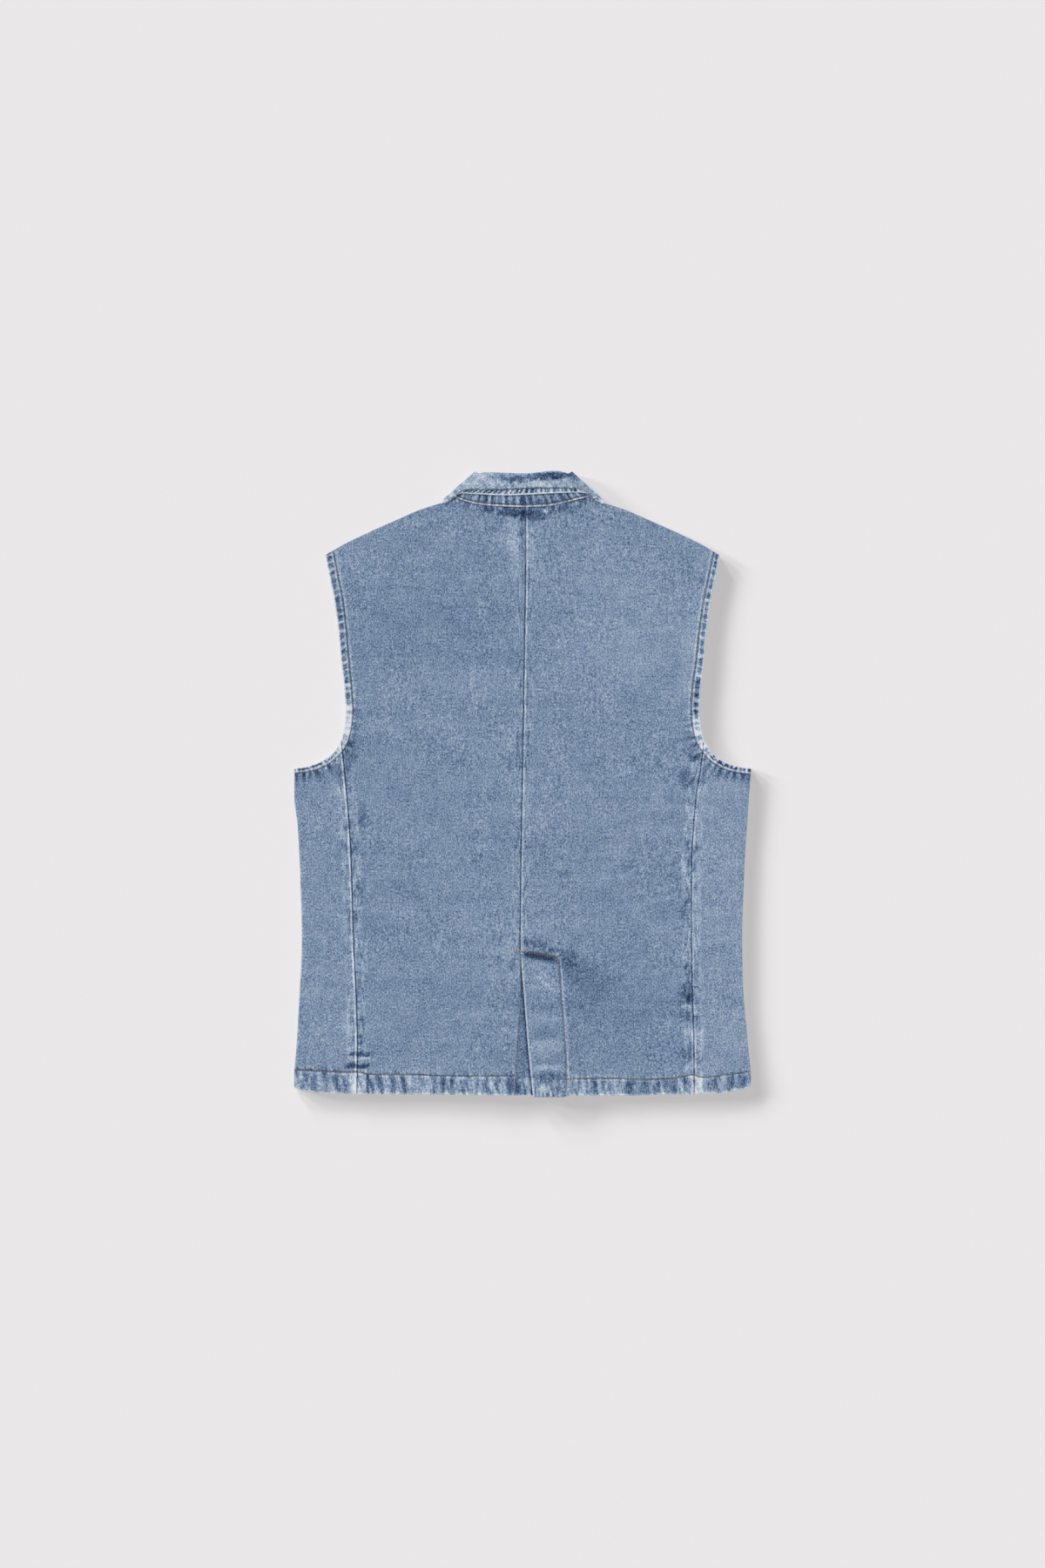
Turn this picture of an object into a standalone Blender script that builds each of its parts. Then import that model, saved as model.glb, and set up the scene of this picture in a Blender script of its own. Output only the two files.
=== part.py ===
"""A sleeveless denim vest, buttoned and laid flat on its front, with its collar towards +Y.

Each panel is an open surface that follows the outer face of the cloth. Short outline tables
and a few heights give its points, and Solidify adds the thickness of the cloth inwards.
All lengths here are millimetres, and X = 0 is the middle of the vest.
"""

import math

import bmesh
import bpy
import numpy as np

MM = 0.001

# Cloth thicknesses
PLY = 1.1
TURNING_WALL = 1.8
FACED_WALL = 2.2
COLLAR_WALL = 1.7
ROLL_WALL = 1.15
SEAM_GAP = 0.3

# Heights of the outer faces above the floor
BACK_HEIGHT = 5.4
CLOSURE_RISE = 1.3
NECK_RISE = 1.0
STAND_TOP = 7.2
COLLAR_TOP = 9.5
COLLAR_MIDDLE = COLLAR_TOP / 2
LEAF_CLEARANCE = 2.3

# Turnings along the free edges
HEM_TURNING = 22.0
ARMHOLE_TURNING = 10.0
TURNING_STEP = 1.5

# Front closure
OVERLAP = 14.0
OVERLAP_END = 17.0
BUTTON_COUNT = 5
BUTTON_RADIUS = 8.5
BUTTON_THICKNESS = 2.2
BUTTON_PITCH = 90.0
FIRST_BUTTON_Y = 228.0
CLOSURE_LIFT = BUTTON_THICKNESS + SEAM_GAP

# Centre back vent
VENT_Y = -196.0
VENT_LENGTH = 161.0
VENT_HEAD = 8.0
UNDERLAP_ROW = 6
UNDERLAP_STEPS = (5.0, 13.0, 24.0, 36.0, 47.0)
UNDERLAP_DIVE = (26.0, 2.0)
FLAP_RIGHT = 44.0
FLAP_SLOPE = 36.0
FLAP_DROP = 1.9
FLAP_DROP_SLOPE = 14.0
FLAP_DROP_Y = (-320.0, -350.0)

# Distances above the hem and below the top edge at which every panel has a row of points
HEM_ROWS = (0.0, HEM_TURNING, HEM_TURNING + TURNING_STEP)
BACK_LOW_ROWS = HEM_ROWS + (60.0, 95.0, 125.0, 150.0, VENT_LENGTH, 171.0)
SHOULDER_BEND = (0.0, 30.0, 60.0, 74.0, 82.0)
NECK_ROWS = (7.0, 5.0, 3.0, 1.5, 0.0)
ABOVE_BEND = 12.0
CORNER_SLACK = 0.35
BAND_COLUMNS = (ARMHOLE_TURNING + TURNING_STEP, ARMHOLE_TURNING, 0.0)
FOLD_BEND = (30.0, 60.0, 90.0, 120.0, 150.0)


def table(columns, *rows):
    """A short table: one array for each named column."""
    return dict(zip(columns.split(), np.array(rows, float).T))


# Seams and side folds, from the hem up
SEAMS = table(
    "y     fold_left seam_left centre_left centre_right seam_right fold_right",
    (-360, -262.0, -190.3, -9.4, 12.6, 197.2, 261.0),
    (-336, -262.0, -190.0, -8.2, 9.6, 197.0, 262.0),
    (-302, -259.5, -189.6, -6.2, 6.2, 196.8, 259.0),
    (-268, -257.5, -190.2, -4.0, 3.5, 195.8, 256.0),
    (-240, -256.0, -191.2, -2.8, 1.3, 194.9, 253.5),
    (-206, -254.0, -192.8, -2.8, -1.4, 194.2, 252.3),
    (-180, -253.2, -194.0, -2.6, -2.6, 193.8, 252.0),
    (-99, -255.5, -196.5, -1.8, -1.8, 193.8, 254.5),
    (-50, -258.0, -198.8, -1.0, -1.0, 196.2, 257.5),
    (-12, -262.0, -202.0, -0.4, -0.4, 199.6, 260.0),
    (18, -261.5, -204.8, 0.2, 0.2, 204.3, 262.0),
    (52, -261.5, -207.7, 0.8, 0.8, 207.7, 262.0),
    (160, -261.5, -207.7, 2.4, 2.4, 207.7, 262.0),
    (250, -261.5, -207.7, 3.6, 3.6, 207.7, 262.0),
    (320, -261.5, -207.7, 3.6, 3.6, 207.7, 262.0),
)

# The back armhole above the side seam, and its lower curve across the side panel
SEAM_TOP_Y = 52.0
ARMHOLE = table(
    "y      x",
    (52.0, 207.7),
    (67.0, 204.5),
    (85.0, 203.2),
    (108.0, 204.4),
    (141.0, 208.0),
    (178.0, 211.5),
    (209.0, 215.7),
    (238.0, 221.5),
    (262.6, 226.2),
)
UNDERARM = table(
    "x      y",
    (206.0, 55.0),
    (212.0, 44.0),
    (219.5, 34.5),
    (233.5, 25.0),
    (251.0, 19.8),
    (262.0, 18.4),
)

# The front armhole lies inside the back one, from the front side seam to the shoulder
FRONT_SEAM_X = 214.0
FRONT_SEAM_TOP_Y = 41.3
FRONT_ARMHOLE = table(
    "y      x",
    (41.3, 214.0),
    (52.0, 205.0),
    (68.0, 198.5),
    (90.0, 196.0),
    (118.0, 198.0),
    (150.0, 202.5),
    (185.0, 208.0),
    (215.0, 213.5),
    (240.0, 219.5),
    (262.6, 226.2),
)

# Hem, and the top edges: shoulders by distance from the middle, necklines across it
HEM = table(
    "x      y",
    (-262, -348.8),
    (-240, -353.6),
    (-190, -355.5),
    (-100, -356.2),
    (0, -357.0),
    (100, -357.2),
    (185, -355.8),
    (229, -354.6),
    (247, -350.8),
    (262, -348.4),
)
NECK_CORNER = 91.0
SHOULDER = table(
    "x      y",
    (91.0, 322.5),
    (97.0, 321.0),
    (104.0, 319.0),
    (119.0, 314.0),
    (140.0, 305.0),
    (178.0, 288.0),
    (203.0, 276.0),
    (226.2, 262.6),
)
BACK_NECK = table(
    "x      y",
    (-91, 322.5),
    (-86, 326.5),
    (-80, 328.6),
    (-67, 324.6),
    (-51, 320.6),
    (-28, 318.6),
    (0, 317.6),
    (28, 318.6),
    (50, 322.8),
    (67, 327.0),
    (80, 329.6),
    (86, 327.0),
    (91, 322.5),
)
FRONT_NECK = table(
    "x      y",
    (0.0, 245.0),
    (20.0, 246.5),
    (38.0, 252.5),
    (56.0, 266.5),
    (70.0, 285.0),
    (79.0, 301.0),
    (85.0, 315.0),
    (91.0, 322.5),
)

# Where the cloth rises over what lies under it: nearing the middle in x, and along the vest in y
RISES = table(
    "height           start_x end_x        start_y end_y",
    (CLOSURE_RISE,   75,     20,          300,    262),
    (NECK_RISE,      150,    100,         270,    310),
    (CLOSURE_LIFT,   55,     OVERLAP_END, -195,   -150),
    (LEAF_CLEARANCE, 137,    112,         175,    205),
)
BACK_OVER_CLOSURE, BACK_AT_NECK, FRONT_OVER_BUTTONS, FRONT_OVER_LEAF = range(4)

# Heights of the outer faces of the vent's underlap and of the flap above it, held down at its top
VENT_HEIGHTS = table(
    "y     underlap flap",
    (-345, 6.0,     8.6),
    (-275, 5.4,     8.2),
    (-225, 4.8,     7.9),
    (-200, 4.7,     7.2),
)

# Collar across the back: the middle of the roll, below the top edge by its radius, and the leaf's free edge
ROLL = table(
    "x      y",
    (-51.8, 354.7),
    (-44.0, 355.9),
    (-30.0, 355.4),
    (-18.0, 354.9),
    (2.0, 354.1),
    (20.0, 355.5),
    (32.0, 357.2),
    (41.0, 357.4),
    (48.0, 356.2),
    (53.8, 354.5),
)
LEAF_EDGE = table(
    "x      y",
    (-89.4, 321.9),
    (-84.5, 324.4),
    (-80.0, 328.0),
    (-75.0, 331.6),
    (-69.0, 333.0),
    (-59.0, 332.5),
    (-20.0, 330.7),
    (2.0, 331.3),
    (33.0, 333.0),
    (64.0, 334.0),
    (74.0, 332.9),
    (80.0, 329.0),
    (86.0, 324.0),
    (91.5, 320.7),
)

# Collar at the two side folds, and down the front to the middle, mirrored on the right
COLLAR_FOLDS = table(
    "side neck_x neck_y roll_x roll_y edge_x edge_y out_x  out_y",
    (-1, -81.0, 329.2, -51.8, 354.7, -89.4, 321.9, -0.657, 0.754),
    (1, 79.8, 331.2, 53.8, 354.5, 91.5, 320.7, 0.668, 0.744),
)
COLLAR_FRONT = table(
    "neck_x roll_x roll_y edge_x edge_y",
    (82.0, 51.5, 342.0, 90.5, 305.0),
    (78.0, 50.0, 324.0, 89.5, 290.0),
    (70.0, 46.5, 303.0, 86.0, 272.0),
    (56.0, 38.0, 285.0, 79.0, 254.0),
    (38.0, 26.0, 272.0, 70.0, 238.0),
    (19.0, 12.0, 265.0, 61.0, 227.0),
    (2.5, 3.6, 262.0, 52.0, 218.0),
)
BACK_COLLAR_SHARES = (0.03, 0.07, 0.12, 0.2, 0.3, 0.4, 0.5, 0.6, 0.7, 0.8, 0.88, 0.94)
STAND_ROWS = (0.0, 0.1, 0.5, 1.0)
LEAF_ROWS = (0.25, 0.6, 0.9, 1.0)
ROLL_BEND = (0.0, 45.0, 90.0, 135.0, 180.0)
ROLL_SEAM = 2.0

FINISHES = table(
    "red   green blue  roughness metallic",
    (0.20, 0.30, 0.44, 0.85,     0.0),
    (0.42, 0.40, 0.37, 0.35,     1.0),
)
DENIM, BUTTON_METAL = 0, 1


def smooth(listed, key, column, at):
    """Reads a column between its rows along a curve that never overshoots them."""
    keys, values = listed[key], listed[column]
    steps = np.diff(keys)
    slopes = np.diff(values) / steps
    before, after = slopes[:-1], slopes[1:]
    same_way = before * after > 0
    total = np.where(same_way, before + after, 1.0)
    inner = np.where(same_way, 2 * before * after / total, 0.0)
    tangents = np.concatenate([slopes[:1], inner, slopes[-1:]])
    place = np.clip(np.searchsorted(keys, at) - 1, 0, len(steps) - 1)
    step = steps[place]
    t = (np.asarray(at, float) - keys[place]) / step
    t = np.clip(t, 0, 1)
    return (
        (2 * t**3 - 3 * t**2 + 1) * values[place]
        + (t**3 - 2 * t**2 + t) * step * tangents[place]
        + (3 * t**2 - 2 * t**3) * values[place + 1]
        + (t**3 - t**2) * step * tangents[place + 1]
    )


def ease(value, low, high):
    """0 at low and beyond it, 1 at high, with a soft start and end."""
    t = np.clip((np.asarray(value, float) - low) / (high - low), 0, 1)
    return t * t * (3 - 2 * t)


def spread(start, end, near, between, far):
    """Places from start to end: distances from the start, shares of the middle, distances to the end."""
    way = np.sign(end - start)
    first = start + way * near[-1]
    last = end - way * far[0]
    return np.array(
        [start + way * distance for distance in near]
        + [first + (last - first) * share for share in between]
        + [end - way * distance for distance in far]
    )


def shares(values, low, high):
    return [(value - low) / (high - low) for value in values]


def rise(kind, x, y):
    row = {key: values[kind] for key, values in RISES.items()}
    across = ease(abs(x), row["start_x"], row["end_x"])
    return row["height"] * across * ease(y, row["start_y"], row["end_y"])


def back_height(x, y):
    """Outer face of the back: higher over the buttoned closure and at the neck."""
    return BACK_HEIGHT + rise(BACK_OVER_CLOSURE, x, y) + rise(BACK_AT_NECK, x, y)


def front_height(x, y):
    """Outer face of the front: on the floor, but over the buttons and the collar leaf."""
    return np.maximum(rise(FRONT_OVER_BUTTONS, x, y), rise(FRONT_OVER_LEAF, x, y))


def hem_y(x):
    return smooth(HEM, "x", "y", x)


def shoulder_y(x):
    return smooth(SHOULDER, "x", "y", abs(x))


def back_top_y(x):
    neck = smooth(BACK_NECK, "x", "y", x)
    return np.where(abs(x) < NECK_CORNER, neck, shoulder_y(x))


def front_top_y(x):
    neck = smooth(FRONT_NECK, "x", "y", abs(x))
    return np.where(abs(x) < NECK_CORNER, neck, shoulder_y(x))


def front_hem_y(x):
    """The front hem, tucked just inside the back one between the side seams."""
    return hem_y(x) + 2.0 * ease(abs(x), FRONT_SEAM_X, 150)


def shoulder_bend(x):
    """The rows below the top edge at x: their distances to it, and how far each turns towards the other side.

    Along the shoulder they round the edge in an arc, and along the neckline they stay level.
    """
    x, y = abs(float(x)), float(shoulder_y(x))
    turned = float(ease(x, 91, 98))
    radius = float(back_height(x, y) - front_height(x, y)) / 2
    angles = np.radians(SHOULDER_BEND)
    rounding = radius * (1 - np.sin(angles) / math.sin(angles[-1]))
    distances = turned * rounding + (1 - turned) * np.array(NECK_ROWS)
    slack = SEAM_GAP / 2 + CORNER_SLACK * float(ease(x, 122, 98))
    return (ABOVE_BEND, *distances), turned * (radius - slack) * (1 - np.cos(angles))


def panel_plan(inner, outer, low_rows, row_heights, columns, hem, top):
    """Plan of a panel between an inner and an outer line, both functions of y: x, y and the shoulder's turn.

    columns is (distances from the inner line, x at the top of those between, distances to the outer line).
    """
    tip = SHOULDER["y"][-1]
    foot = hem(outer(-350.0))
    row_shares = shares(row_heights, foot + low_rows[-1], tip - ABOVE_BEND)
    near, between, far = columns
    inner_top, outer_top = inner(300.0), outer(tip)
    way = np.sign(outer_top - inner_top)
    tops = [way * value for value in between]
    column_shares = shares(tops, inner_top + way * near[-1], outer_top - way * far[0])
    inner_y = spread(hem(inner(-350.0)), top(inner_top), low_rows, row_shares, shoulder_bend(inner_top)[0])
    outer_y = spread(foot, tip, low_rows, row_shares, shoulder_bend(tip)[0])
    x = spread(inner(inner_y), outer(outer_y), near, column_shares, far)
    y, turn = np.empty_like(x), np.zeros_like(x)
    for column, (x_foot, x_top) in enumerate(zip(x[:, 0], x[:, -1])):
        distances, drop = shoulder_bend(x_top)
        y[column] = spread(hem(x_foot), top(x_top), low_rows, row_shares, distances)
        turn[column, -len(drop):] = drop
    return x.T, y.T, turn.T


def back_outer(side):
    """The side seam up to the armhole and then the armhole, as a function of y."""
    name = "seam_left" if side < 0 else "seam_right"

    def line(y):
        seam = smooth(SEAMS, "y", name, y) - side * SEAM_GAP / 2
        hole = side * smooth(ARMHOLE, "y", "x", y)
        return np.where(np.asarray(y) < SEAM_TOP_Y, seam, hole)

    return line


def front_outer(side):
    def line(y):
        seam = side * (FRONT_SEAM_X - SEAM_GAP / 2)
        hole = side * smooth(FRONT_ARMHOLE, "y", "x", y)
        return np.where(np.asarray(y) < FRONT_SEAM_TOP_Y, seam, hole)

    return line


def turning_wall(x, y, hem, edge_distance, above):
    """Cloth thickness: doubled along the hem, and along the armhole above its lowest point."""
    in_hem = y < hem + HEM_TURNING + TURNING_STEP / 2
    in_band = (edge_distance < ARMHOLE_TURNING + TURNING_STEP / 2) & (y > above)
    return np.where(in_hem | in_band, TURNING_WALL, PLY)


def finish(kind):
    name = ("denim", "button_metal")[kind]
    found = bpy.data.materials.get(name)
    if found:
        return found
    made = bpy.data.materials.new(name)
    made.use_nodes = True
    shader = made.node_tree.nodes["Principled BSDF"]
    colour = [float(FINISHES[channel][kind]) for channel in ("red", "green", "blue")]
    shader.inputs["Base Color"].default_value = (*colour, 1.0)
    shader.inputs["Roughness"].default_value = float(FINISHES["roughness"][kind])
    shader.inputs["Metallic"].default_value = float(FINISHES["metallic"][kind])
    return made


def add_sheet(name, points, walls, faces_down, keep=None):
    """A cloth piece: a grid of points on its outer face, thickened inwards by Solidify."""
    rows, columns = points.shape[:2]
    mesh = bpy.data.meshes.new(name)
    shape = bmesh.new()
    corners = [[shape.verts.new(points[r, c] * MM) for c in range(columns)] for r in range(rows)]
    for r in range(rows - 1):
        for c in range(columns - 1):
            if keep is None or keep(r, c):
                ring = [corners[r][c], corners[r][c + 1], corners[r + 1][c + 1], corners[r + 1][c]]
                shape.faces.new(ring[::-1] if faces_down else ring)
    weights = {}
    for r in range(rows):
        for c in range(columns):
            weights[corners[r][c]] = float((walls[r, c] - PLY) / (FACED_WALL - PLY))
    for loose in [vertex for vertex in shape.verts if not vertex.link_faces]:
        del weights[loose]
        shape.verts.remove(loose)
    shape.verts.index_update()
    by_index = {vertex.index: weight for vertex, weight in weights.items()}
    shape.to_mesh(mesh)
    shape.free()
    mesh.shade_smooth()
    piece = bpy.data.objects.new(name, mesh)
    mesh.materials.append(finish(DENIM))
    group = piece.vertex_groups.new(name="doubled")
    for index, weight in by_index.items():
        group.add([index], weight, "REPLACE")
    solid = piece.modifiers.new("cloth", "SOLIDIFY")
    solid.thickness = FACED_WALL * MM
    solid.offset = -1
    solid.vertex_group = group.name
    solid.thickness_vertex_group = PLY / FACED_WALL
    return piece


def stacked(x, y, z):
    return np.stack([x, y, z], axis=-1)


def centre_line(side):
    name = "centre_left" if side < 0 else "centre_right"
    return lambda y: smooth(SEAMS, "y", name, y) + side * SEAM_GAP / 2


BACK_ROW_HEIGHTS = (-145, -100, -55, -15, 20, SEAM_TOP_Y, 66, 84, 106, 134, 166, 200, 234)
BACK_TOPS = (42, 55, 67, 80, 86, 90, 94, 99, 107, 122, 145, 170, 195)
BACK_COLUMNS = ((0.0, 12.0, 28.0), BACK_TOPS, BAND_COLUMNS)


def back_panel(side):
    """Half of the back, from the centre seam to the side seam and armhole, hem to shoulder."""
    left = side < 0
    outer = back_outer(side)
    x, y, turn = panel_plan(
        centre_line(side), outer, BACK_LOW_ROWS, BACK_ROW_HEIGHTS, BACK_COLUMNS, hem_y, back_top_y
    )
    height = back_height(x, y) - turn
    walls = turning_wall(x, y, y[0], abs(outer(y[:, -1:]) - x), SEAM_TOP_Y - 1)
    if left:
        start, end = UNDERLAP_DIVE
        diving = ease(x, x[:, :1] - start, x[:, :1] - end) * ease(y, VENT_Y + VENT_HEAD, VENT_Y)
        height = height + (smooth(VENT_HEIGHTS, "y", "underlap", y) - height) * diving
        steps = np.array(UNDERLAP_STEPS)
        far_x = x[:, :1] + steps[::-1]
        far_y = np.repeat(y[:, :1], len(steps), axis=1)
        x, y = np.hstack([far_x, x]), np.hstack([far_y, y])
        height = np.hstack([smooth(VENT_HEIGHTS, "y", "underlap", far_y), height])
        walls = np.hstack([np.repeat(walls[:, :1], len(steps), axis=1), walls])
    else:
        across = ease(x, FLAP_RIGHT + FLAP_SLOPE, FLAP_RIGHT)
        on_flap = across * ease(y, VENT_Y + VENT_HEAD, VENT_Y - VENT_HEAD / 2)
        height = height + (smooth(VENT_HEIGHTS, "y", "flap", y) - height) * on_flap
        faced = (x < FLAP_RIGHT) & (y < VENT_Y + 1)
        walls = np.where(faced, FACED_WALL, walls)
        y = y - FLAP_DROP * ease(x, FLAP_RIGHT + FLAP_DROP_SLOPE, FLAP_RIGHT) * ease(y, *FLAP_DROP_Y)
    added = len(UNDERLAP_STEPS) if left else 0
    name = "back_left" if left else "back_right"
    return add_sheet(name, stacked(x, y, height), walls, left, lambda r, c: c >= added or r < UNDERLAP_ROW)


FRONT_ROW_HEIGHTS = (-290, -240, -195, -150, -100, -50, 0, FRONT_SEAM_TOP_Y, 52, 68, 90, 118, 150, 185, 220)
FRONT_TOPS = (41, 56, 69, 79, 85, 90, 94, 99, 112, 137, 165, 195)
FRONT_COLUMNS = ((0.0, 10.0, 20.0, 31.0, 43.0), FRONT_TOPS, BAND_COLUMNS)


def front_panel(side):
    """One front, whose outer face lies on the floor. The right one passes above the left at the closure."""
    left = side < 0
    outer = front_outer(side)

    def edge(y):
        return np.zeros_like(np.asarray(y, float)) - side * OVERLAP

    x, y, turn = panel_plan(edge, outer, HEM_ROWS, FRONT_ROW_HEIGHTS, FRONT_COLUMNS, front_hem_y, front_top_y)
    height = front_height(x, y) + turn
    walls = turning_wall(x, y, y[0], abs(outer(y[:, -1:]) - x), FRONT_SEAM_TOP_Y - 1)
    if not left:
        height = height + (walls + SEAM_GAP) * ease(x, 28, OVERLAP_END)
    return add_sheet("front_left" if left else "front_right", stacked(x, y, height), walls, not left)


SIDE_ROW_SHARES = (0.12, 0.24, 0.36, 0.48, 0.6, 0.72, 0.84, 0.94)


def side_panel(side):
    """A side panel, folded round the side of the vest from the back seam to the front one."""
    left = side < 0
    seam_name, fold_name = ("seam_left", "fold_left") if left else ("seam_right", "fold_right")
    radius = BACK_HEIGHT / 2

    def section(y):
        """x and height across the panel at one level, from the back seam round the fold."""
        seam = smooth(SEAMS, "y", seam_name, min(y, SEAM_TOP_Y)) + side * SEAM_GAP / 2
        fold = smooth(SEAMS, "y", fold_name, y) - side * radius
        front = side * (FRONT_SEAM_X + SEAM_GAP / 2)
        flat_back = [seam + (fold - seam) * share for share in (0, 0.2, 0.45, 0.7, 0.88, 1)]
        bend = [fold + side * radius * math.sin(math.radians(a)) for a in FOLD_BEND]
        flat_front = [fold + (front - fold) * share for share in (0, 0.15, 0.5, 1)]
        heights = (
            [2 * radius] * len(flat_back)
            + [radius * (1 + math.cos(math.radians(a))) for a in FOLD_BEND]
            + [0.0] * len(flat_front)
        )
        return np.array(flat_back + bend + flat_front), np.array(heights)

    foot_x, heights = section(-350.0)
    head_x, _ = section(SEAM_TOP_Y)
    head_y = smooth(UNDERARM, "x", "y", abs(head_x))
    y = np.array(
        [spread(hem_y(a), b, HEM_ROWS, SIDE_ROW_SHARES, BAND_COLUMNS) for a, b in zip(foot_x, head_y)]
    ).T
    x = np.array([[section(y[r, c])[0][c] for c in range(y.shape[1])] for r in range(y.shape[0])])
    z = np.repeat(heights[None, :], len(y), axis=0)
    walls = turning_wall(x, y, y[0], y[-1] - y, VENT_Y)
    return add_sheet("side_left" if left else "side_right", stacked(x, y, z), walls, left)


def front_neck_place(x):
    """A point just outside the front neckline, by the gap that a seam keeps."""
    slope = (smooth(FRONT_NECK, "x", "y", x + 0.5) - smooth(FRONT_NECK, "x", "y", x - 0.5)) / 1.0
    length = math.hypot(slope, 1)
    gap = SEAM_GAP * 1.5
    return x - gap * slope / length, smooth(FRONT_NECK, "x", "y", x) + gap / length


def collar_stations():
    """Stations round the neck, from the left front end to the right one: neck, roll and edge places in plan,
    the angle from straight up, and the way outwards at the fold."""
    halves = []
    for i, side in enumerate(COLLAR_FOLDS["side"]):
        fold = {key: values[i] for key, values in COLLAR_FOLDS.items()}
        out = np.array([fold["out_x"], fold["out_y"]])
        places = [np.array([fold[f"{line}_x"], fold[f"{line}_y"]]) for line in ("neck", "roll", "edge")]
        front = []
        for j, x in enumerate(COLLAR_FRONT["neck_x"]):
            neck_x, neck_y = front_neck_place(x)
            row = {key: values[j] for key, values in COLLAR_FRONT.items()}
            neck = np.array([side * neck_x, neck_y])
            roll = np.array([side * row["roll_x"], row["roll_y"]])
            edge = np.array([side * row["edge_x"], row["edge_y"]])
            front.append((neck, roll, edge, 180.0, out))
        bend = [(*places, angle, out) for angle in (0.0,) + FOLD_BEND + (180.0,)]
        halves.append((bend, front))
    (left_bend, left_front), (right_bend, right_front) = halves
    back = []
    for share in BACK_COLLAR_SHARES:
        a, b = left_bend[0], right_bend[0]
        xs = [a[k][0] + (b[k][0] - a[k][0]) * share for k in range(3)]
        neck = np.array([xs[0], smooth(BACK_NECK, "x", "y", xs[0]) + SEAM_GAP])
        roll = np.array([xs[1], smooth(ROLL, "x", "y", xs[1])])
        edge = np.array([xs[2], smooth(LEAF_EDGE, "x", "y", xs[2])])
        back.append((neck, roll, edge, 0.0, a[4]))
    return left_front[::-1] + left_bend[::-1] + back + right_bend + right_front


def lifted(plan, angle, out, radius):
    """A plan point moved from the collar's middle height by a radius, up, outwards or down."""
    turn = math.radians(angle)
    x, y = plan + out * radius * math.sin(turn)
    return (x, y, COLLAR_MIDDLE + radius * math.cos(turn))


def towards_roll(neck, roll, edge):
    """The plan direction across the roll, midway between the stand's and the leaf's."""
    both = (roll - neck) / np.linalg.norm(roll - neck) + (roll - edge) / np.linalg.norm(roll - edge)
    return both / np.linalg.norm(both)


def collar_stand():
    """The band between the neckline and the roll line."""
    outer = STAND_TOP - COLLAR_MIDDLE
    grid = []
    for neck, roll, edge, angle, out in collar_stations():
        end = roll - towards_roll(neck, roll, edge) * (ROLL_SEAM + SEAM_GAP)
        grid.append([lifted(neck + (end - neck) * share, angle, out, outer) for share in STAND_ROWS])
    points = np.array(grid)
    return add_sheet("collar_stand", points, np.full(points.shape[:2], COLLAR_WALL), True)


def collar_leaf():
    """The turned-down leaf: over the roll line and down to its free edge."""
    outer = COLLAR_TOP - COLLAR_MIDDLE
    inner = STAND_TOP - COLLAR_MIDDLE - COLLAR_WALL
    middle, bend = (outer + inner) / 2, (outer - inner) / 2
    grid = []
    for neck, roll, edge, angle, out in collar_stations():
        along = towards_roll(neck, roll, edge)
        line = [lifted(roll - along * ROLL_SEAM, angle, out, inner)]
        for degrees in ROLL_BEND:
            turn = math.radians(degrees)
            plan = roll + along * bend * math.sin(turn)
            line.append(lifted(plan, angle, out, middle - bend * math.cos(turn)))
        line += [lifted(roll + (edge - roll) * share, angle, out, outer) for share in LEAF_ROWS]
        grid.append(line)
    points = np.array(grid)
    walls = np.full(points.shape[:2], COLLAR_WALL)
    walls[:, 1 : 1 + len(ROLL_BEND)] = ROLL_WALL
    return add_sheet("collar_leaf", points, walls, False)


def button(number):
    """A metal button on the outer side of the closure, its face on the floor."""
    y = FIRST_BUTTON_Y - number * BUTTON_PITCH
    bpy.ops.mesh.primitive_cylinder_add(
        vertices=20,
        radius=BUTTON_RADIUS * MM,
        depth=BUTTON_THICKNESS * MM,
        location=(0, y * MM, BUTTON_THICKNESS * MM / 2),
    )
    piece = bpy.context.object
    piece.name = f"button_{number + 1}"
    piece.data.name = piece.name
    piece.data.materials.append(finish(BUTTON_METAL))
    round_edge = piece.modifiers.new("round_edge", "BEVEL")
    round_edge.width = 0.5 * MM
    round_edge.segments = 1
    piece.data.shade_smooth()
    piece.data.set_sharp_from_angle(angle=math.radians(50))
    return piece


for old in list(bpy.data.objects):
    bpy.data.objects.remove(old, do_unlink=True)

vest = bpy.data.collections.new("denim_vest")
bpy.context.scene.collection.children.link(vest)
root = bpy.data.objects.new("vest_root", None)
vest.objects.link(root)

pieces = [make(side) for make in (back_panel, side_panel, front_panel) for side in (-1, 1)]
pieces += [collar_stand(), collar_leaf()]
pieces += [button(number) for number in range(BUTTON_COUNT)]
for piece in pieces:
    for holder in list(piece.users_collection):
        holder.objects.unlink(piece)
    vest.objects.link(piece)
    piece.parent = root
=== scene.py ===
# %% [markdown]
# # A denim vest laid flat on its front
#
# This lesson dresses a plain model of a sleeveless denim vest. The plain model has the right
# outline and thickness. Here each of its panels gets a finer sheet of cloth in its place, with
# turned hems, puckered seams and stitches. A material then gives the cloth its washed blue.
# Lengths are worked out in millimetres and made metres when a mesh is built.

# %% Load the plain model
import math

import bpy
import numpy as np
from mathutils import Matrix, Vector
from mathutils.bvhtree import BVHTree


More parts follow.
